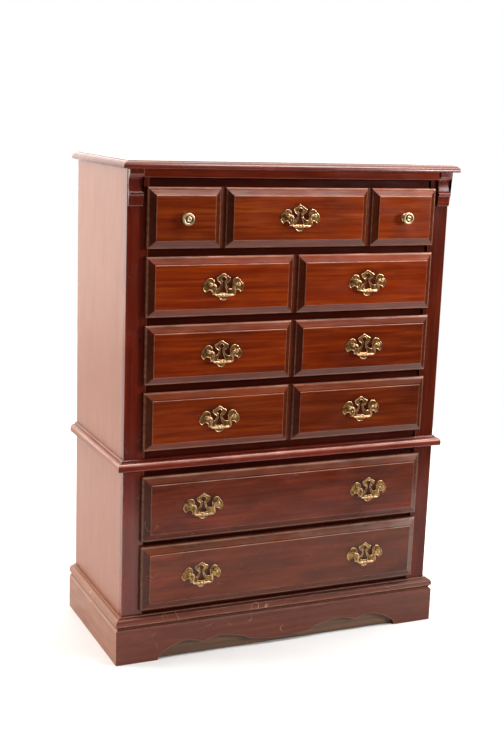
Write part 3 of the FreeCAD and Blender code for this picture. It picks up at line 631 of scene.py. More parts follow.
for side, name, wood in ((-1, "left", stile_wood), (1, "right", right_stile_shaded_wood)):
    left, right = on_side(side, half_opening, half_case)
    make(name + "_corner_stile", "case",
         [board((left, 0, plinth_height), (right, stile_thick, case_top), UPRIGHT, 0.5)],
         wood, [name + "_stile"])
    left, right = on_side(side, inside, half_case)
    panel = [board((left, stile_thick, plinth_height), (right, back_y, case_top), UPRIGHT, 0.4)]
    left, right = on_side(side, inside + rabbet, half_case)
    panel.append(board((left, back_y, plinth_height), (right, case_depth, case_top), UPRIGHT, 0.4))
    make(name + "_side_veneered_panel", "case", panel, side_wood_faded_and_lit,
         [name + "_side_panel"])

# The drawers from the top down: number, low edge and height of the front, and the block grooves.
drawers = [(1, 1087.9, 153.0, [-208.0, 208.0]), (2, 916.1, 153.0, [0.0]), (3, 744.3, 153.0, [0.0]),
           (4, 572.5, 153.0, [0.0]), (5, 330.0, 175.0, []), (6, 141.5, 175.0, [])]
overlap = 8.0
openings = [(low + overlap, low + height - overlap) for number, low, height, grooves in drawers]
edges = [case_top] + [z for low, high in openings for z in (high, low)] + [plinth_height]
rail_back = rail_setback + rail_thick
rail_shells = [board((-half_opening, rail_setback, low), (half_opening, rail_back, high), ACROSS)
               for high, low in zip(edges[::2], edges[1::2])]
# Three strips bring the rails flush with the stiles behind the frieze and the mouldings, which
# cover the strips' edges by 1 mm.
for low, high in ((case_top - top_rail_height, case_top),
                  (waist_bottom + 1, waist_bottom + waist_height - 1),
                  (plinth_height, plinth_height + base_height - 1)):
    rail_shells.append(board((-half_opening, 0, low), (half_opening, rail_setback, high), ACROSS, 0.4))
make("front_rails", "case", rail_shells, rail_shaded_wood, ["drawer_rails"])

guide_width, guide_rise, guide_sink, rear_height = 44.5, 8.0, 12.0, 35.0
glide_front, glide_back, glide_thick = 9.0, 22.0, 3.0
# How far the drawers' sides reach from the middle, outside and inside: the glides lie under them.
box_half, inner_half = 398.2, 385.5
rear_y = back_y - rail_thick
rear_shells, guide_shells, glide_shells = [], [], []
for low, high in openings:
    middle = low + (guide_rise - guide_sink) / 2
    rear_shells.append(board((-inside, rear_y, middle - rear_height / 2),
                             (inside, back_y, middle + rear_height / 2), ACROSS))
    guide_shells.append(board((-guide_width / 2, rail_back, low - guide_sink),
                              (guide_width / 2, rear_y, low + guide_rise), DEEP, 1.2))
    for side in (-1, 1):
        left, right = on_side(side, inner_half, box_half)
        glide_shells.append(board((left, glide_front, low), (right, glide_back, low + glide_thick),
                                  ACROSS, 0.6))
make("rear_rails_pine", "case", rear_shells, pine_across, ["rear_rails"])
make("centre_guide_runners", "case", guide_shells, pine_deep, ["centre_guides"])

# Moulded nylon: off-white and even, with a faint cloudiness inside, drawn as colour, and a fine
# orange-peel from the mould that softens its shine.
white_nylon, tree, place = material("white nylon")
cloud = node(tree, "TexNoise", {"Vector": place, "Scale": 60.0, "Detail": 2.0})
tint = node(tree, "Mix", {"Factor": cloud, "A": linear("#D8D2C0"), "B": linear("#EFEADC")},
            data_type="RGBA")
gloss = node(tree, "MapRange", {"Value": cloud, "To Min": 0.35, "To Max": 0.5})
peel = node(tree, "TexNoise", {"Vector": place, "Scale": 900.0})
relief = node(tree, "Bump", {"Height": peel, "Strength": 0.15, "Distance": 0.0002})
satin = node(tree, "BsdfPrincipled", {"Base Color": tint, "Roughness": gloss, "Normal": relief})
node(tree, "OutputMaterial", {"Surface": satin})
make("nylon_rail_glides", "case", glide_shells, white_nylon, ["rail_glides"])

# Pressed wood fibre: brown, smooth and nearly plain, so its bands are broad and close in tone.
half_back = inside + rabbet - back_play
hardboard = plain_wood("hardboard, smooth side", UPRIGHT, ("#5A3C26", "#6B4A30"), 0.5, 0.02)
make("hardboard_back", "case",
     [board((-half_back, back_y, plinth_height), (half_back, case_depth - back_set_in, case_top),
            UPRIGHT, 0.3)], hardboard, ["back_panel"])


def metal(name, tones, roughness, patina=None):
    """A metal, its colour clouded between two tones, with fine handling marks in its gloss. A
    patina, clouded in the same way, lies where the wear attribute is 0, and dirt where it is
    below that. Clouds are 7 mm wide, and grit from the casting is 0.6 mm wide."""
    finish, tree, place = material(name)
    cloud = node(tree, "TexNoise", {"Vector": place, "Scale": 140.0, "Detail": 3.0})
    spread = node(tree, "MapRange", {"Value": cloud, "From Min": 0.35, "From Max": 0.65})
    colour = node(tree, "Mix", {"Factor": spread, "A": linear(tones[0]), "B": linear(tones[1])},
                  data_type="RGBA")
    gloss = node(tree, "MapRange", {"Value": cloud, "To Min": roughness - 0.06,
                                    "To Max": roughness + 0.1})
    bare = 1.0
    if patina:
        wear_and_painted_light = node(tree, "Attribute", attribute_name="wear_and_painted_light").outputs["Fac"]
        rim = node(tree, "MapRange", {"Value": wear_and_painted_light, "From Max": 0.8})
        crease = node(tree, "MapRange", {"Value": wear_and_painted_light, "From Min": -0.1, "From Max": -0.8,
                                         "To Max": 0.9})
        film = node(tree, "Mix", {"Factor": spread, "A": linear(patina[0]),
                                  "B": linear(patina[1])}, data_type="RGBA")
        colour = node(tree, "Mix", {"Factor": rim, "A": film, "B": colour}, data_type="RGBA")
        colour = node(tree, "Mix", {"Factor": crease, "A": colour, "B": linear("#1E140A")},
                      data_type="RGBA")
        gloss = node(tree, "MapRange", {"Value": rim, "To Min": roughness + 0.2,
                                        "To Max": roughness})
        bare = node(tree, "MapRange", {"Value": rim, "To Min": 0.75, "To Max": 1.0})
    grit = node(tree, "TexNoise", {"Vector": place, "Scale": 1600.0, "Detail": 2.0})
    relief = node(tree, "Bump", {"Height": grit, "Strength": 0.12, "Distance": 0.0001})
    surface = node(tree, "BsdfPrincipled", {"Base Color": colour, "Metallic": bare,
                                            "Roughness": gloss, "Normal": relief})
    node(tree, "OutputMaterial", {"Surface": surface})
    return finish


# Zinc-plated steel wire: a cool grey with a half-dull shine.
zinc = metal("zinc-plated steel", ("#A8A8A4", "#C4C4C0"), 0.32)
staple_half, wire_half, staple_inset, wire_thick, wire_set_in = 5.0, 0.5, 6.0, 0.4, 0.02
last_across, first_up, last_up = 420.0, 190.0, 1200.0
staples = [(x, z, staple_half, wire_half, ACROSS) for x in np.linspace(-last_across, last_across, 8)
           for z in (plinth_height + staple_inset, case_top - staple_inset)]
staples += [(side * (half_back - staple_half), z, wire_half, staple_half, UPRIGHT)
            for side in (-1, 1) for z in np.linspace(first_up, last_up, 9)]
make("back_staples", "case",
     [board((x - wide, case_depth - back_set_in - wire_thick, z - tall),
            (x + wide, case_depth - wire_set_in, z + tall), along, 0.15)
      for x, z, wide, tall, along in staples], zinc)


# ---- The frieze, the corner brackets and the top ---------------------------------------------
# A plain strip runs under the top between two small moulded brackets, which cap the stiles. The
# top is one board whose edge is moulded on three sides and square at the back.

frieze_proud, frieze_height = 13.5, 21.0
bracket_width, bracket_height, bracket_proud, bracket_reveal = 37.0, 91.0, 17.5, 1.0
bracket_inner = half_case - bracket_reveal - bracket_width

# The frieze has the mouldings' red, but a duller lacquer.
frieze_wood = stained_wood("stained hardwood, frieze strip", ACROSS,
                           ("#621C0E", "#702411", "#802E17"), "#C08F7C", 0.18, lustre=0.18)
make("frieze_strip", "case",
     [board((-bracket_inner, -frieze_proud, case_top - frieze_height), (bracket_inner, 0, case_top),
            ACROSS, 0.9)], frieze_wood, ["frieze_rail"])


def drawn_in(shape, by):
    """A closed outline moved inwards: each place goes square to the line between its
    neighbours."""
    along = np.roll(shape, -1) - np.roll(shape, 1)
    return shape + 1j * sense(shape) * by * along / abs(along)


bracket = outline(0j, 1, 1 + 0.14j, (0.74 + 0.21j, 0.46 + 0.27j), (0.41 + 0.40j, 0.45 + 0.50j),
                  (0.58 + 0.60j, 0.77 + 0.64j), 0.77 + 0.69j, (0.56 + 0.80j, 0.49 + 0.95j),
                  0.40 + 1j, 1j)
bracket = -bracket.real * bracket_proud + 1j * (case_top - bracket.imag * bracket_height)
bracket, bracket_wear = eased(bracket, 0.6)
# Each ring from one face to the other: how far it lies out, how far drawn in, and how rubbed.
bracket_face = [(0, 2, 0), (0, 0.7, 0.15), (0.2, 0.2, 0.2), (0.7, 0, 0.15), (2, 0, 0)]
bracket_steps = bracket_face + [(bracket_width - out, inset, rub)
                                for out, inset, rub in bracket_face[::-1]]
bracket_ring_wear = [np.maximum(bracket_wear * (inset < 2) * 0.5, rub)
                     for out, inset, rub in bracket_steps]
bracket_shells = [loft([in_space(drawn_in(bracket, inset), (1, 2), side * (bracket_inner + out))
                        for out, inset, rub in bracket_steps], bracket_ring_wear)
                  for side in (-1, 1)]
make("corner_bracket_pair", "case", bracket_shells, stile_wood, ["corner_brackets"])

top_thick, overhang_side, overhang_front = 19.0, 17.9, 27.4
nose_drop, edge_width, edge_step, under_round, corner_nip = 13.0, 17.5, 1.6, 3.5, 1.5
under_end, over_end = 9.0, 26.0
top_z = case_top + top_thick
nose_z = top_z - nose_drop
turn = 1 - math.sqrt(0.5)
# The section of the edge: how far it lies in from the nose, and its height.
edge = outline(under_end + 1j * case_top, under_round + 1j * case_top,
               (under_round * turn + 1j * (case_top + under_round * turn),
                1j * (case_top + under_round)), 1j * nose_z,
               (edge_width * turn + 1j * (nose_z + (nose_drop - edge_step) * (1 - turn)),
                edge_width + 1j * (top_z - edge_step)),
               edge_width + 1j * top_z, over_end + 1j * top_z)
edge, edge_wear_and_shade = eased(edge, 0.7)
# The small step below the flat is painted dark: painted shade in the step.
edge_wear_and_shade[(edge.imag > top_z - 0.8) & (edge.real > edge_width - 1)] = -0.4
# The section's two cut ends lie inside the board's flat faces, so they stay square.
edge, edge_wear_and_shade = edge[6:-6], edge_wear_and_shade[6:-6]


def top_ring(inset, height):
    """The board's outline in plan at one place of its section, with its front corners just taken
    off."""
    x, y = half_case + overhang_side - inset, -overhang_front + inset
    nip = corner_nip * (np.exp(1j * np.linspace(-math.pi / 2, 0, 5)) - 1 + 1j)
    corner = x + 1j * y + nip
    return in_space(np.concatenate([-np.conj(corner[::-1]), corner,
                                    [x + 1j * case_depth, -x + 1j * case_depth]]), (0, 1), height)


# The top board's veneer is paler than the front, under a full gloss.
top_wood = stained_wood("cherry veneer top", ACROSS, ("#5B1E10", "#6A2818", "#783320"), "#D0A592",
                        0.24)
make("moulded_top", "case", [loft([top_ring(place.real, place.imag) for place in edge],
                                  edge_wear_and_shade[:, None])], top_wood, ["top_board"])


# ---- The drawer fronts ---------------------------------------------------------------------
# Each is one thick solid front with a lip all round. Raised fields with a small shoulder and a
# mitred bevel are cut in it, parted by coved grooves, so that one drawer looks like two or three.
# Behind the lip a tongue fills the opening, with pins at its ends for the sides' dovetails.

lip_y, field_y, lip_side = -13.4, -24.8, 8.4
shoulder, arris, edge_round = 2.2, 1.2, 4.6
shallow_bevel, deep_bevel, inner_bevel = 20.0, 21.0, 15.5
groove_half, groove_depth = 8.25, 4.6
tongue_y, face_gap = 8.0, 0.5
tail_flare, tongue_headroom, floor_clearance, headroom = 1.6, 2.4, 3.3, 9.7
# Turns the columns of a section to their mirror image.
mirrored = [-1, 1, 1, 1]


def flank(foot, crest, start, foot_wear_and_highlight):
    """From a lip or a groove up to the field: a bevel in even steps, a small square shoulder and
    a rounded arris. Columns are the distance, the depth, the wear with painted highlight, and
    the glaze with painted shade, which is 1 below the field."""
    rise = np.linspace(0, 1, 7)
    bevel = np.stack([foot + rise * (crest - foot), lip_y + rise * (field_y + shoulder - lip_y),
                      np.zeros(7), np.ones(7)], 1)
    bevel[0, 2], bevel[-1, 2], bevel[-1, 0] = foot_wear_and_highlight, -0.8, crest - 0.2
    angle = np.linspace(0, math.pi / 2, 5)
    round_over = np.stack([crest + arris * (1 - np.cos(angle)), field_y + arris * (1 - np.sin(angle)),
                           [0.6, 1, 1, 0.8, 0.3], [0.8, 0.5, 0.2, 0, 0]], 1)
    field = np.array([[crest + arris + 1.5, field_y, 0, 0]])
    return np.concatenate([start, bevel, round_over, field])


def front_columns(low, high, bevel, grooves):
    """A front's section from one edge to the other: a quarter round, a flank up to the field,
    a flank down to each coved groove and up again, and the first two mirrored at the far edge."""
    angle = np.linspace(0, math.pi / 2, 8)[:-1]
    # The lip's wear rises towards the top of the round: rubbing and a painted highlight.
    lip = np.stack([edge_round * (1 - np.cos(angle)), lip_y + edge_round * (1 - np.sin(angle)),
                    np.linspace(0.1, 0.8, 7), np.ones(7)], 1)
    outer = flank(edge_round, bevel, lip, 0.3)
    cove = bend(1j * (lip_y + groove_depth), groove_half / 2 + 1j * (lip_y + 0.8 * groove_depth),
                groove_half + 1j * lip_y, 9)[:-1]
    hollow = np.stack([cove.real, cove.imag, np.append(np.zeros(8), 0.4), np.ones(9)], 1)
    inner = flank(groove_half, groove_half + inner_bevel, hollow, 1.0)
    columns = [outer + [low, 0, 0, 0]]
    for groove in grooves:
        columns += [inner[::-1] * mirrored + [groove, 0, 0, 0], inner[1:] + [groove, 0, 0, 0]]
    return np.concatenate(columns + [outer[::-1] * mirrored + [high, 0, 0, 0]])


def block_front(low, height, bevel, grooves):
    """The front's face as a net over width and height: each place is as deep as the deeper of
    the two sections there, which gives true mitres. Each cell is split along its mitre. The net's
    rim is carried back to the case and closed. The glaze, partly painted shade, is full on the
    bevels at the sides, 0.6 at the foot and 0.15 at the head, whose bevels are painted a little
    pale as a painted sheen. Edges keep 0.4 of their wear, and only the head's edges are painted
    fully pale, as rubbing and painted highlight."""
    half = half_opening + lip_side
    across = front_columns(-half, half, bevel, grooves)
    up = front_columns(low, low + height, bevel, [])
    foot, head = up[:len(up) // 2], up[len(up) // 2:]
    # Painted light: the side and foot bevels are glazed darker as painted shade, the head's bevels are
    # painted a little pale as sheen, and the head's edges keep full wear as painted highlight.
    across[:, 2] *= 0.4
    foot[:, 2:] *= [0.4, 0.6]
    head[(head[:, 2] == 0) & (head[:, 3] == 1), 2] = 0.1
    head[:, 3] *= 0.15
    fx, fz = across[:, None, 1], up[None, :, 1]
    depth = np.maximum(fx, fz)

    def mitred(column):
        """A column over the net: from the deeper section, or the greater of both on a mitre."""
        x, z = across[:, None, column], up[None, :, column]
        return np.where(fx > fz + 1e-6, x, np.where(fz > fx + 1e-6, z, np.maximum(x, z))).ravel()

    nx, nz = depth.shape
    net = in_space(across[:, None, 0] + 1j * up[None, :, 0], (0, 2), depth).reshape(-1, 3)
    at = np.arange(nx * nz).reshape(nx, nz)
    a, b, c, d = at[:-1, :-1].ravel(), at[1:, :-1].ravel(), at[1:, 1:].ravel(), at[:-1, 1:].ravel()
    rising = abs(fx[:-1] - fz[:, :-1]) + abs(fx[1:] - fz[:, 1:])
    falling = abs(fx[:-1] - fz[:, 1:]) + abs(fx[1:] - fz[:, :-1])
    main = (rising < falling).ravel()[:, None]
    first = np.where(main, np.stack([a, b, c], 1), np.stack([a, b, d], 1))
    second = np.where(main, np.stack([a, c, d], 1), np.stack([b, c, d], 1))
    rim = np.concatenate([at[:, 0], at[-1, 1:], at[-2::-1, -1], at[0, -2:0:-1]])
    back = net[rim] * [1, 0, 1] + [0, -face_gap, 0]
    behind = nx * nz + np.arange(len(rim))
    skirt = np.stack([rim, np.roll(rim, -1), np.roll(behind, -1), behind], 1)
    faces = first.tolist() + second.tolist() + skirt.tolist() + [behind[::-1].tolist()]
    wear_and_painted_light, glaze_and_shade = np.append(mitred(2), np.zeros(len(rim))), np.append(mitred(3), np.ones(len(rim)))
    return (np.concatenate([net, back]), faces, wear_and_painted_light), glaze_and_shade


def box_span(low, height):
    """The low and high edges of a drawer's box, which clears its opening."""
    return low + overlap + floor_clearance, low + height - overlap - headroom


def tails(low, high):
    """The run of a side's two dovetails, from the bottom up: each is half its pitch wide and
    flares towards its end. The front's pins fill what is between them."""
    pitch = (high - low) / 2
    quarter = pitch / 4
    run = []
    for middle in (low + pitch / 2, low + pitch * 1.5):
        run += [tongue_y + 1j * (middle - quarter), 1j * (middle - quarter - tail_flare),
                1j * (middle + quarter + tail_flare), tongue_y + 1j * (middle + quarter)]
    return run


# Each board took the stain its own way. The upper four are a clear orange-red under a full
# gloss, and the lower two are browner, duller and scuffed. For each: its tones and worn colour,
# which also paints the edges' highlights, its roughness, dust, scratches, glaze with painted
# shade and lustre, and how much paler it grows to the right.
face_looks = {
    1: (("#621A06", "#792A08", "#954310"), "#E0A88C", 0.19, 0.0, 0.0, 0.8, 0.36, 0.12),
    2: (("#671B04", "#7E2805", "#993E0A"), "#E0A88C", 0.19, 0.0, 0.0, 0.8, 0.36, 0.0),
    3: (("#591604", "#6D2204", "#87340A"), "#E0A88C", 0.19, 0.0, 0.0, 0.8, 0.36, -0.18),
    4: (("#541704", "#672205", "#80340B"), "#CE9478", 0.19, 0.01, 0.2, 0.8, 0.33, -0.3),
    5: (("#4C1709", "#5C1F0C", "#6B2810"), "#C49A80", 0.19, 0.03, 0.3, 0.75, 0.2, -0.1),
    6: (("#4E1A0D", "#5C2413", "#6A2C17"), "#C49A80", 0.21, 0.08, 0.3, 0.75, 0.2, -0.3)}
shallow_pull_x, deep_pull_x, pull_rise, pull_grime_and_shade_drop = 207.2, 245.0, 7.5, 3.0
pull_x = {1: 0.0, 2: shallow_pull_x, 3: shallow_pull_x, 4: shallow_pull_x, 5: deep_pull_x,
          6: deep_pull_x}

for number, low, height, grooves in drawers:
    shallow = number < 5
    box_low, box_high = box_span(low, height)
    tongue_high = low + height - overlap - tongue_headroom
    face, glazed_and_shaded = block_front(low, height, shallow_bevel if shallow else deep_bevel, grooves)
    shells = [face, board((-inner_half, -face_gap, box_low), (inner_half, tongue_y, tongue_high),
                          ACROSS, 0.3)]
    pins = np.array([-face_gap + 1j * box_low, -face_gap + 1j * tongue_high,
                     tongue_y + 1j * tongue_high, *tails(box_low, box_high)[::-1],
                     tongue_y + 1j * box_low])
    for side in (-1, 1):
        shells.append(loft(in_space(pins, (1, 2), side * np.array([[inner_half], [box_half]]))))
    tones, worn_and_highlight, roughness, dust, scratches, glaze_and_shade, lustre, drift = face_looks[number]
    # The oval sits a little below the pulls, where their painted shade falls.
    pull_grime_and_shade_level = low + height / 2 + pull_rise - pull_grime_and_shade_drop
    finish = stained_wood("cherry-stained poplar, drawer %d" % number, ACROSS, tones, worn_and_highlight,
                          roughness, dust, scratches, glaze_and_shade,
                          (pull_x[number] / 1000, pull_grime_and_shade_level / 1000), lustre,
                          1.0 if shallow else 1.6, drift)
    piece = make("drawer_%d_block_front" % number, "drawer_%d" % number, shells, finish,
                 ["drawer_%d_front" % number])
    behind = np.ones(sum(len(shell[0]) for shell in shells[1:]))
    piece.data.attributes.new("flank", "FLOAT", "POINT").data.foreach_set(
        "value", np.append(glazed_and_shaded, behind))


# ---- The drawer boxes ----------------------------------------------------------------------
# Poplar sides dovetailed to the front, a back let into dados, a thin plywood bottom, and at the
# back a nylon channel that rides on the centre guide.

box_back_y, box_back, dado, bottom_rise, bottom_thick = 386.0, 12.7, 5.0, 9.5, 4.8
box_groove, bottom_edge, bottom_tenon = 6.0, 0.5, 5.0
channel_length, channel_legs, channel_wall, channel_play = 25.0, 10.0, 4.0, 0.4
channel_lift, channel_tab, channel_tab_rise = 0.3, 2.0, 26.0

# Planed poplar and thin plywood: pale, straight-grained and unfinished, greyed a little by use.
poplar_tones = ("#A98A5E", "#C7AB7F")
poplar_deep = plain_wood("planed poplar, run back", DEEP, poplar_tones, 0.5, 0.009)
poplar_across = plain_wood("planed poplar, run across", ACROSS, poplar_tones, 0.5, 0.009)
plywood = plain_wood("thin plywood", ACROSS, ("#A07F58", "#B8976C"), 0.5, 0.03)

for number, low, height, grooves in drawers:
    name, body = "drawer_%d_" % number, "drawer_%d" % number
    box_low, box_high = box_span(low, height)
    bottom_low = box_low + bottom_rise
    bottom_high = bottom_low + bottom_thick
    shape, wear_and_painted_light = eased(np.array([box_back_y + 1j * box_low, tongue_y + 1j * box_low,
                                  *tails(box_low, box_high),
                                  tongue_y + 1j * box_high, box_back_y + 1j * box_high]), 0.5)
    shells = []
    for side in (-1, 1):
        rings = [in_space(drawn_in(shape, inset), (1, 2), side * x)
                 for x, inset in ((inner_half, 0.3), (inner_half + 0.3, 0), (box_half - 0.3, 0),
                                  (box_half, 0.3))]
        shells.append(loft(rings, wear_and_painted_light * 0.6))
    half = inner_half + dado
    shells.append(board((-half, box_back_y - box_back, bottom_high), (half, box_back_y, box_high),
                        ACROSS, 0.6))
    make(name + "dovetailed_box", body, shells, [poplar_deep, poplar_deep, poplar_across],
         [name + "box"])
    half = inner_half + box_groove - bottom_edge
    make(name + "plywood_bottom", body,
         [board((-half, tongue_y - bottom_tenon, bottom_low), (half, box_back_y, bottom_high),
                ACROSS, 0.3)], plywood, [name + "bottom"])
    seat = low + overlap + guide_rise + channel_lift
    foot = seat - channel_legs
    inner_x = guide_width / 2 + channel_play
    outer_x = inner_x + channel_wall
    # The channel's right half in section, from its outer top corner down and up to its seat.
    half_channel = np.array([outer_x + 1j * bottom_low, outer_x + 1j * foot, inner_x + 1j * foot,
                             inner_x + 1j * seat])
    channel, wear_and_painted_light = eased(np.concatenate([-np.conj(half_channel[1:]), half_channel[::-1],
                                          -np.conj(half_channel[:1])]), 0.5)
    depths = np.array([box_back_y - channel_length, box_back_y])[:, None]
    shells = [loft(in_space(channel, (0, 2), depths), wear_and_painted_light),
              board((-outer_x, box_back_y, seat),
                    (outer_x, box_back_y + channel_tab, bottom_high + channel_tab_rise), UPRIGHT, 0.5)]
    make(name + "nylon_channel", body, shells, white_nylon, [name + "guide"])


# ---- The pulls -----------------------------------------------------------------------------
# Cast batwing plates, pierced with a keyhole and edged with a raised rim, are held by two turned
# posts. A bail hangs from pins in the posts' heads. All are brass-plated and darkened by age.

post_x, plate_thick, stand_off = 38.1, 2.2, 9.8
pivot_y = field_y - plate_thick - stand_off
pulls = {number: [("left", -x), ("right", x)] if x else [("centre", x)]
         for number, x in pull_x.items()}
pivot_z = {number: low + height / 2 + pull_rise for number, low, height, grooves in drawers}


def evenly(shape, gap):
    """A closed run of places set out again at equal distances along itself."""
    closed = np.append(shape, shape[0])
    length = np.append(0, np.cumsum(abs(np.diff(closed))))
    places = np.linspace(0, length[-1], int(length[-1] / gap) + 1)[:-1]
    return np.interp(places, length, closed.real) + 1j * np.interp(places, length, closed.imag)


def whole(half):
    """A half outline joined to its mirror image."""
    return np.concatenate([half, -np.conj(half[::-1][1:-1])])


# Half the plate's outline, from the peak round the wing to the lowest tip, and half the keyhole.
p = post_x
plate = whole(outline(
    26.6j, (2.6 + 26.2j, 4.8 + 24.8j), (11.4 + 20.4j, 18.6 + 16.4j), (19.6 + 15.5j, 19.4 + 14.2j),
    (15.3 + 6.3j, 8.6 + 1.5j), (8.1 - 0.8j, 8.9 - 3j), (13.2 - 10j, 21.8 - 12.8j),
    (p - 13.5 - 11.8j, p - 13.1 - 8j), p - 14 + 1j, (p - 1.5 + 15.2j, p + 10.3 + 5.6j),
    (p + 17.5 - 4.5j, p + 8.9 - 21.8j), (p + 0.9 - 15.6j, p - 7.9 - 27.2j),
    (p - 9.1 - 28.2j, p - 10.5 - 27j), (19 - 29j, 11.4 - 33.2j), (8.6 - 39.1j, -41.9j), count=16))
keyhole = whole(outline(17.8j, (6.2 + 11.8j, 2.4 + 6.3j), (4.6 - 8.5j, 11.5 - 22.5j),
                        (5.8 - 23.6j, -24j), count=16))
plate, keyhole = evenly(plate, 0.9), evenly(keyhole, 0.9)

# The rim's section: how far in from the edge, how high above the drawer, and how rubbed it is.
rim_section = np.array([(0.25, 0, -1), (0, 0.4, -0.6), (0, 1.1, 0.4), (0.25, 1.75, 0.9),
                        (0.8, 2.15, 1), (1.4, 2.2, 1), (1.9, 2.05, 0.8), (2.3, 1.5, -0.3),
                        (2.5, 1.1, -1), (2.8, 1.0, -0.5), (3.0, 1.0, 0)])


def cast_plate():
    """The plate's walls and rims as rings moved in from its two outlines, and its flat face and
    back filled in between them. The keyhole's rim is a quarter narrower."""
    points, faces, wear_and_painted_light, backs, fronts = [], [], [], [], []
    start = 0
    for line, way in ((plate, 1), (keyhole, -0.75)):
        rings = [in_space(drawn_in(line, way * inset), (0, 2), field_y - height)
                 for inset, height, rub in rim_section]
        ring_points, ring_faces, ring_wear = loft(rings, rim_section[:, 2:])
        at = start + np.arange(len(ring_points)).reshape(len(rings), -1)
        points.append(ring_points)
        faces += [[k + start for k in face] for face in ring_faces[:-2]]
        wear_and_painted_light.append(ring_wear)
        backs.append(at[0])
        fronts.append(at[-1])
        start += at.size
    points = np.concatenate(points)
    for pair in (backs, fronts):
        filled = np.array(tessellate_polygon([list(map(Vector, points[ring])) for ring in pair]))
        faces += np.concatenate(pair)[filled].tolist()
    return points, faces, np.concatenate(wear_and_painted_light)


def turning(x, z, section, around=32, wear_and_painted_light=0.0):
    """A turning whose axis runs back to front: each place of the section, real part out from the
    axis and imaginary part forwards from the drawer's field, is carried round a circle."""
    angle = np.linspace(0, 2 * math.pi, around, endpoint=False)
    ring = np.exp(1j * angle)[None, :] * section.real[:, None] + x + 1j * z
    return loft(in_space(ring, (0, 2), (field_y - section.imag)[:, None]), wear_and_painted_light)


post = outline(3.4 + 2.2j, 3.4 + 2.6j, (2.7 + 3.4j, 2.6 + 5j), (2.7 + 7.6j, 3.6 + 8.8j),
               (4.6 + 9.6j, 4.7 + 12j), (4.5 + 14.2j, 3.2 + 15.4j), (1.9 + 16.3j, 0.15 + 16.45j))
# The bore's radius, and where it starts and ends on either side of the post's axis.
pin_bore, bore_start, bore_end = 1.75, 8.0, 3.2


def bored_post():
    """One post, with a hole for the bail's pin bored across its head from the inner side."""
    angle = np.linspace(0, 2 * math.pi, 24, endpoint=False)
    bore = loft(in_space(pivot_y + pin_bore * np.exp(1j * angle), (1, 2),
                         np.array([[post_x - bore_start], [post_x + bore_end]])))
    parts = []
    for name, (points, faces, wear_and_painted_light) in (("post", turning(post_x, 0, post)), ("bore", bore)):
        mesh = bpy.data.meshes.new(name)
        mesh.from_pydata(points, [], faces)
        face_outwards(mesh)
        parts.append(bpy.data.objects.new(name, mesh))
        bpy.context.collection.objects.link(parts[-1])
    drill = parts[0].modifiers.new("bore", "BOOLEAN")
    drill.operation, drill.object = "DIFFERENCE", parts[1]
    drilled = parts[0].evaluated_get(bpy.context.evaluated_depsgraph_get())
    mesh = bpy.data.meshes.new_from_object(drilled)
    points = np.zeros(len(mesh.vertices) * 3)
    mesh.vertices.foreach_get("co", points)
    faces = [list(face.vertices) for face in mesh.polygons]
    for part in parts:
        bpy.data.objects.remove(part)
    return points.reshape(-1, 3), faces, np.full(len(points) // 3, 0.6)


def hanging_bail():
    """A round bar along half a bail's line and its mirror image, its thickness following the
    place on the line: pins, plain arms and a beaded grip. Each ring lies square to the line."""
    half = outline(41 + 0j, 33.2 + 0j, 33.1 + 0j, (28.1 - 1.2j, 25 - 6j), 27.4 - 17.9j,
                   (26 - 24.4j, 19 - 27.1j), 0 - 27.1j, count=10)
    length = np.append(0, np.cumsum(abs(np.diff(half))))
    places = np.unique(np.concatenate([np.linspace(0, length[-1], 110), length]))
    line = np.interp(places, length, half.real) + 1j * np.interp(places, length, half.imag)
    ahead = np.gradient(line)
    ahead = np.convolve(np.pad(ahead / abs(ahead), 2, "edge"), np.ones(5) / 5, "valid")
    ahead = ahead / abs(ahead)
    # The pin is thin up to the arm. The grip's beads are given from the middle of the bail out.
    pin_end, pin_radius, arm_radius = 7.9, 1.6, 2.5
    grip = [0, 0.6, 1.6, 3.2, 4.8, 6.6, 8.4, 9.6, 10.4, 11.2, 12.6, 16, 19, 22]
    girth = [2.5, 3.0, 3.7, 3.95, 3.9, 3.8, 3.2, 2.5, 2.5, 3.0, 3.25, 3.2, 2.9, 2.5]
    radius = np.where(places < pin_end, pin_radius, arm_radius)
    out = length[-1] - places
    radius = np.where(out < grip[-1], np.interp(out, grip, girth), radius)
    line = np.concatenate([line, -np.conj(line[::-1][1:])])[:, None]
    ahead = np.concatenate([ahead, np.conj(ahead[::-1][1:])])[:, None]
    radius = np.concatenate([radius, radius[::-1][1:]])[:, None]
    angle = np.linspace(0, 2 * math.pi, 20, endpoint=False)
    return loft(in_space(line + 1j * ahead * radius * np.cos(angle), (0, 2),
                         pivot_y + radius * np.sin(angle)), 0.7)


def moved(shell, x, z, flip=1):
    """A shell carried to a place, and turned to its mirror image first where flip is -1."""
    points, faces, wear_and_painted_light = shell
    return points * [flip, 1, 1] + [x, 0, z], faces, wear_and_painted_light


# Brass plate over a casting. On the upper drawers it has darkened to brown between bright rims.
# On the lower ones the patina is rubbed thinner and looks more yellow, and the rims are duller.
upper_brass = metal("aged brass plate", ("#C89A6C", "#EAC096"), 0.26, ("#54380F", "#86622C"))
lower_brass = metal("rubbed brass plate", ("#A27C5C", "#D0AA82"), 0.27, ("#5A4018", "#B48E4E"))
plate_shell, post_shell, bail_shell = cast_plate(), bored_post(), hanging_bail()
for number, places in pulls.items():
    brass = upper_brass if number < 5 else lower_brass
    z = pivot_z[number]
    shells = []
    for side, x in places:
        shells += [moved(plate_shell, x, z), moved(post_shell, x, z), moved(post_shell, x, z, -1)]
        make("bail_%d_%s_bar" % (number, side), "bail_%d_%s_swing" % (number, side),
             [moved(bail_shell, x, z)], brass, ["bail_%d_%s" % (number, side)], 50)
    make("drawer_%d_pull_plates" % number, "drawer_%d" % number, shells, brass,
         ["drawer_%d_pulls" % number], 40)

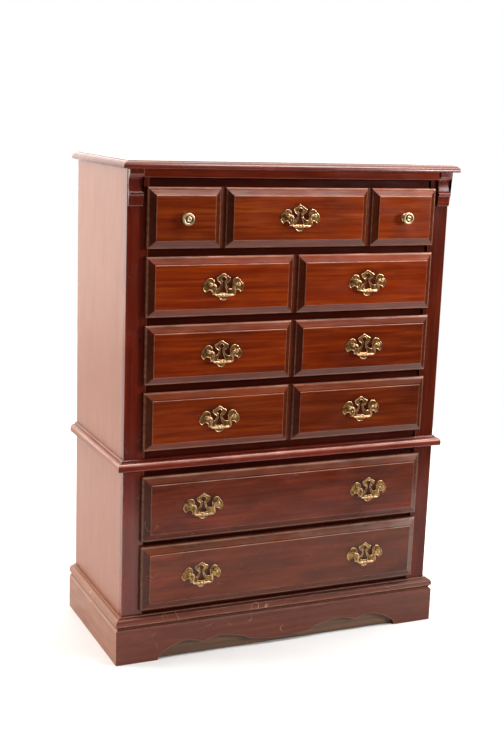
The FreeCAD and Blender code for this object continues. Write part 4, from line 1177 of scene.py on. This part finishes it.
# The knobs of the top drawer: cast brass, hollowed in the face round a dimpled button. They are
# brighter than the plates, with dirt in the hollow.
knob_x, knob_z = 311.5, drawers[0][1] + drawers[0][2] / 2
knob = outline(11.6 + 0j, 11.6 + 1.2j, (10.6 + 2.4j, 9.2 + 4.2j), (8.7 + 7j, 9.6 + 9.4j),
               (12.4 + 11j, 15 + 13.2j), (16 + 15.6j, 15.2 + 18.4j), (13.2 + 20.6j, 11 + 20.2j),
               (9.2 + 18.8j, 8.6 + 18.2j), (7.6 + 18.6j, 7 + 20j), (5.6 + 21.6j, 3.4 + 21.8j),
               (2.2 + 21.1j, 1.4 + 20.6j), (0.8 + 20.4j, 0.1 + 20.4j), count=6)
# Dirt fills the neck and the hollow, which share a radius, and lies thinner in the dimple.
neck_radius, neck_reach, dimple_radius, dimple_from = 8.8, 1.2, 1.8, 17.0
knob_wear = np.where(abs(knob.real - neck_radius) < neck_reach, -0.9, 0.6)
knob_wear[(knob.imag > dimple_from) & (knob.real < dimple_radius)] = -0.5
make("brass_knobs", "drawer_1",
     [turning(side * knob_x, knob_z, knob, 48, knob_wear[:, None]) for side in (-1, 1)],
     metal("polished brass", ("#DCC096", "#F0D8B0"), 0.32, ("#5A4426", "#7E6238")),
     ["knobs"], 40)

# Round-headed screws hold the posts and the knobs from inside each drawer. A slot, drawn as a
# thin bar a little proud of the head, crosses each.
head = outline(4.4 + 0j, (4.2 + 1.5j, 2.9 + 2.3j), (1.6 + 2.7j, 0.1 + 2.75j), count=6)
head_section = head.real + 1j * (field_y - tongue_y - head.imag)
slot_half, slot_width_half, slot_foot, slot_top = 2.4, 0.4, 1.8, 2.8
for number, places in pulls.items():
    screws = [(x + sign * post_x, pivot_z[number]) for side, x in places for sign in (-1, 1)]
    if number == 1:
        screws += [(-knob_x, knob_z), (knob_x, knob_z)]
    shells = []
    for x, z in screws:
        shells += [turning(x, z, head_section, 20),
                   board((x - slot_half, tongue_y + slot_foot, z - slot_width_half),
                         (x + slot_half, tongue_y + slot_top, z + slot_width_half), ACROSS, 0.1)]
    make("drawer_%d_pull_screws" % number, "drawer_%d" % number, shells, zinc)


low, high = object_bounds()
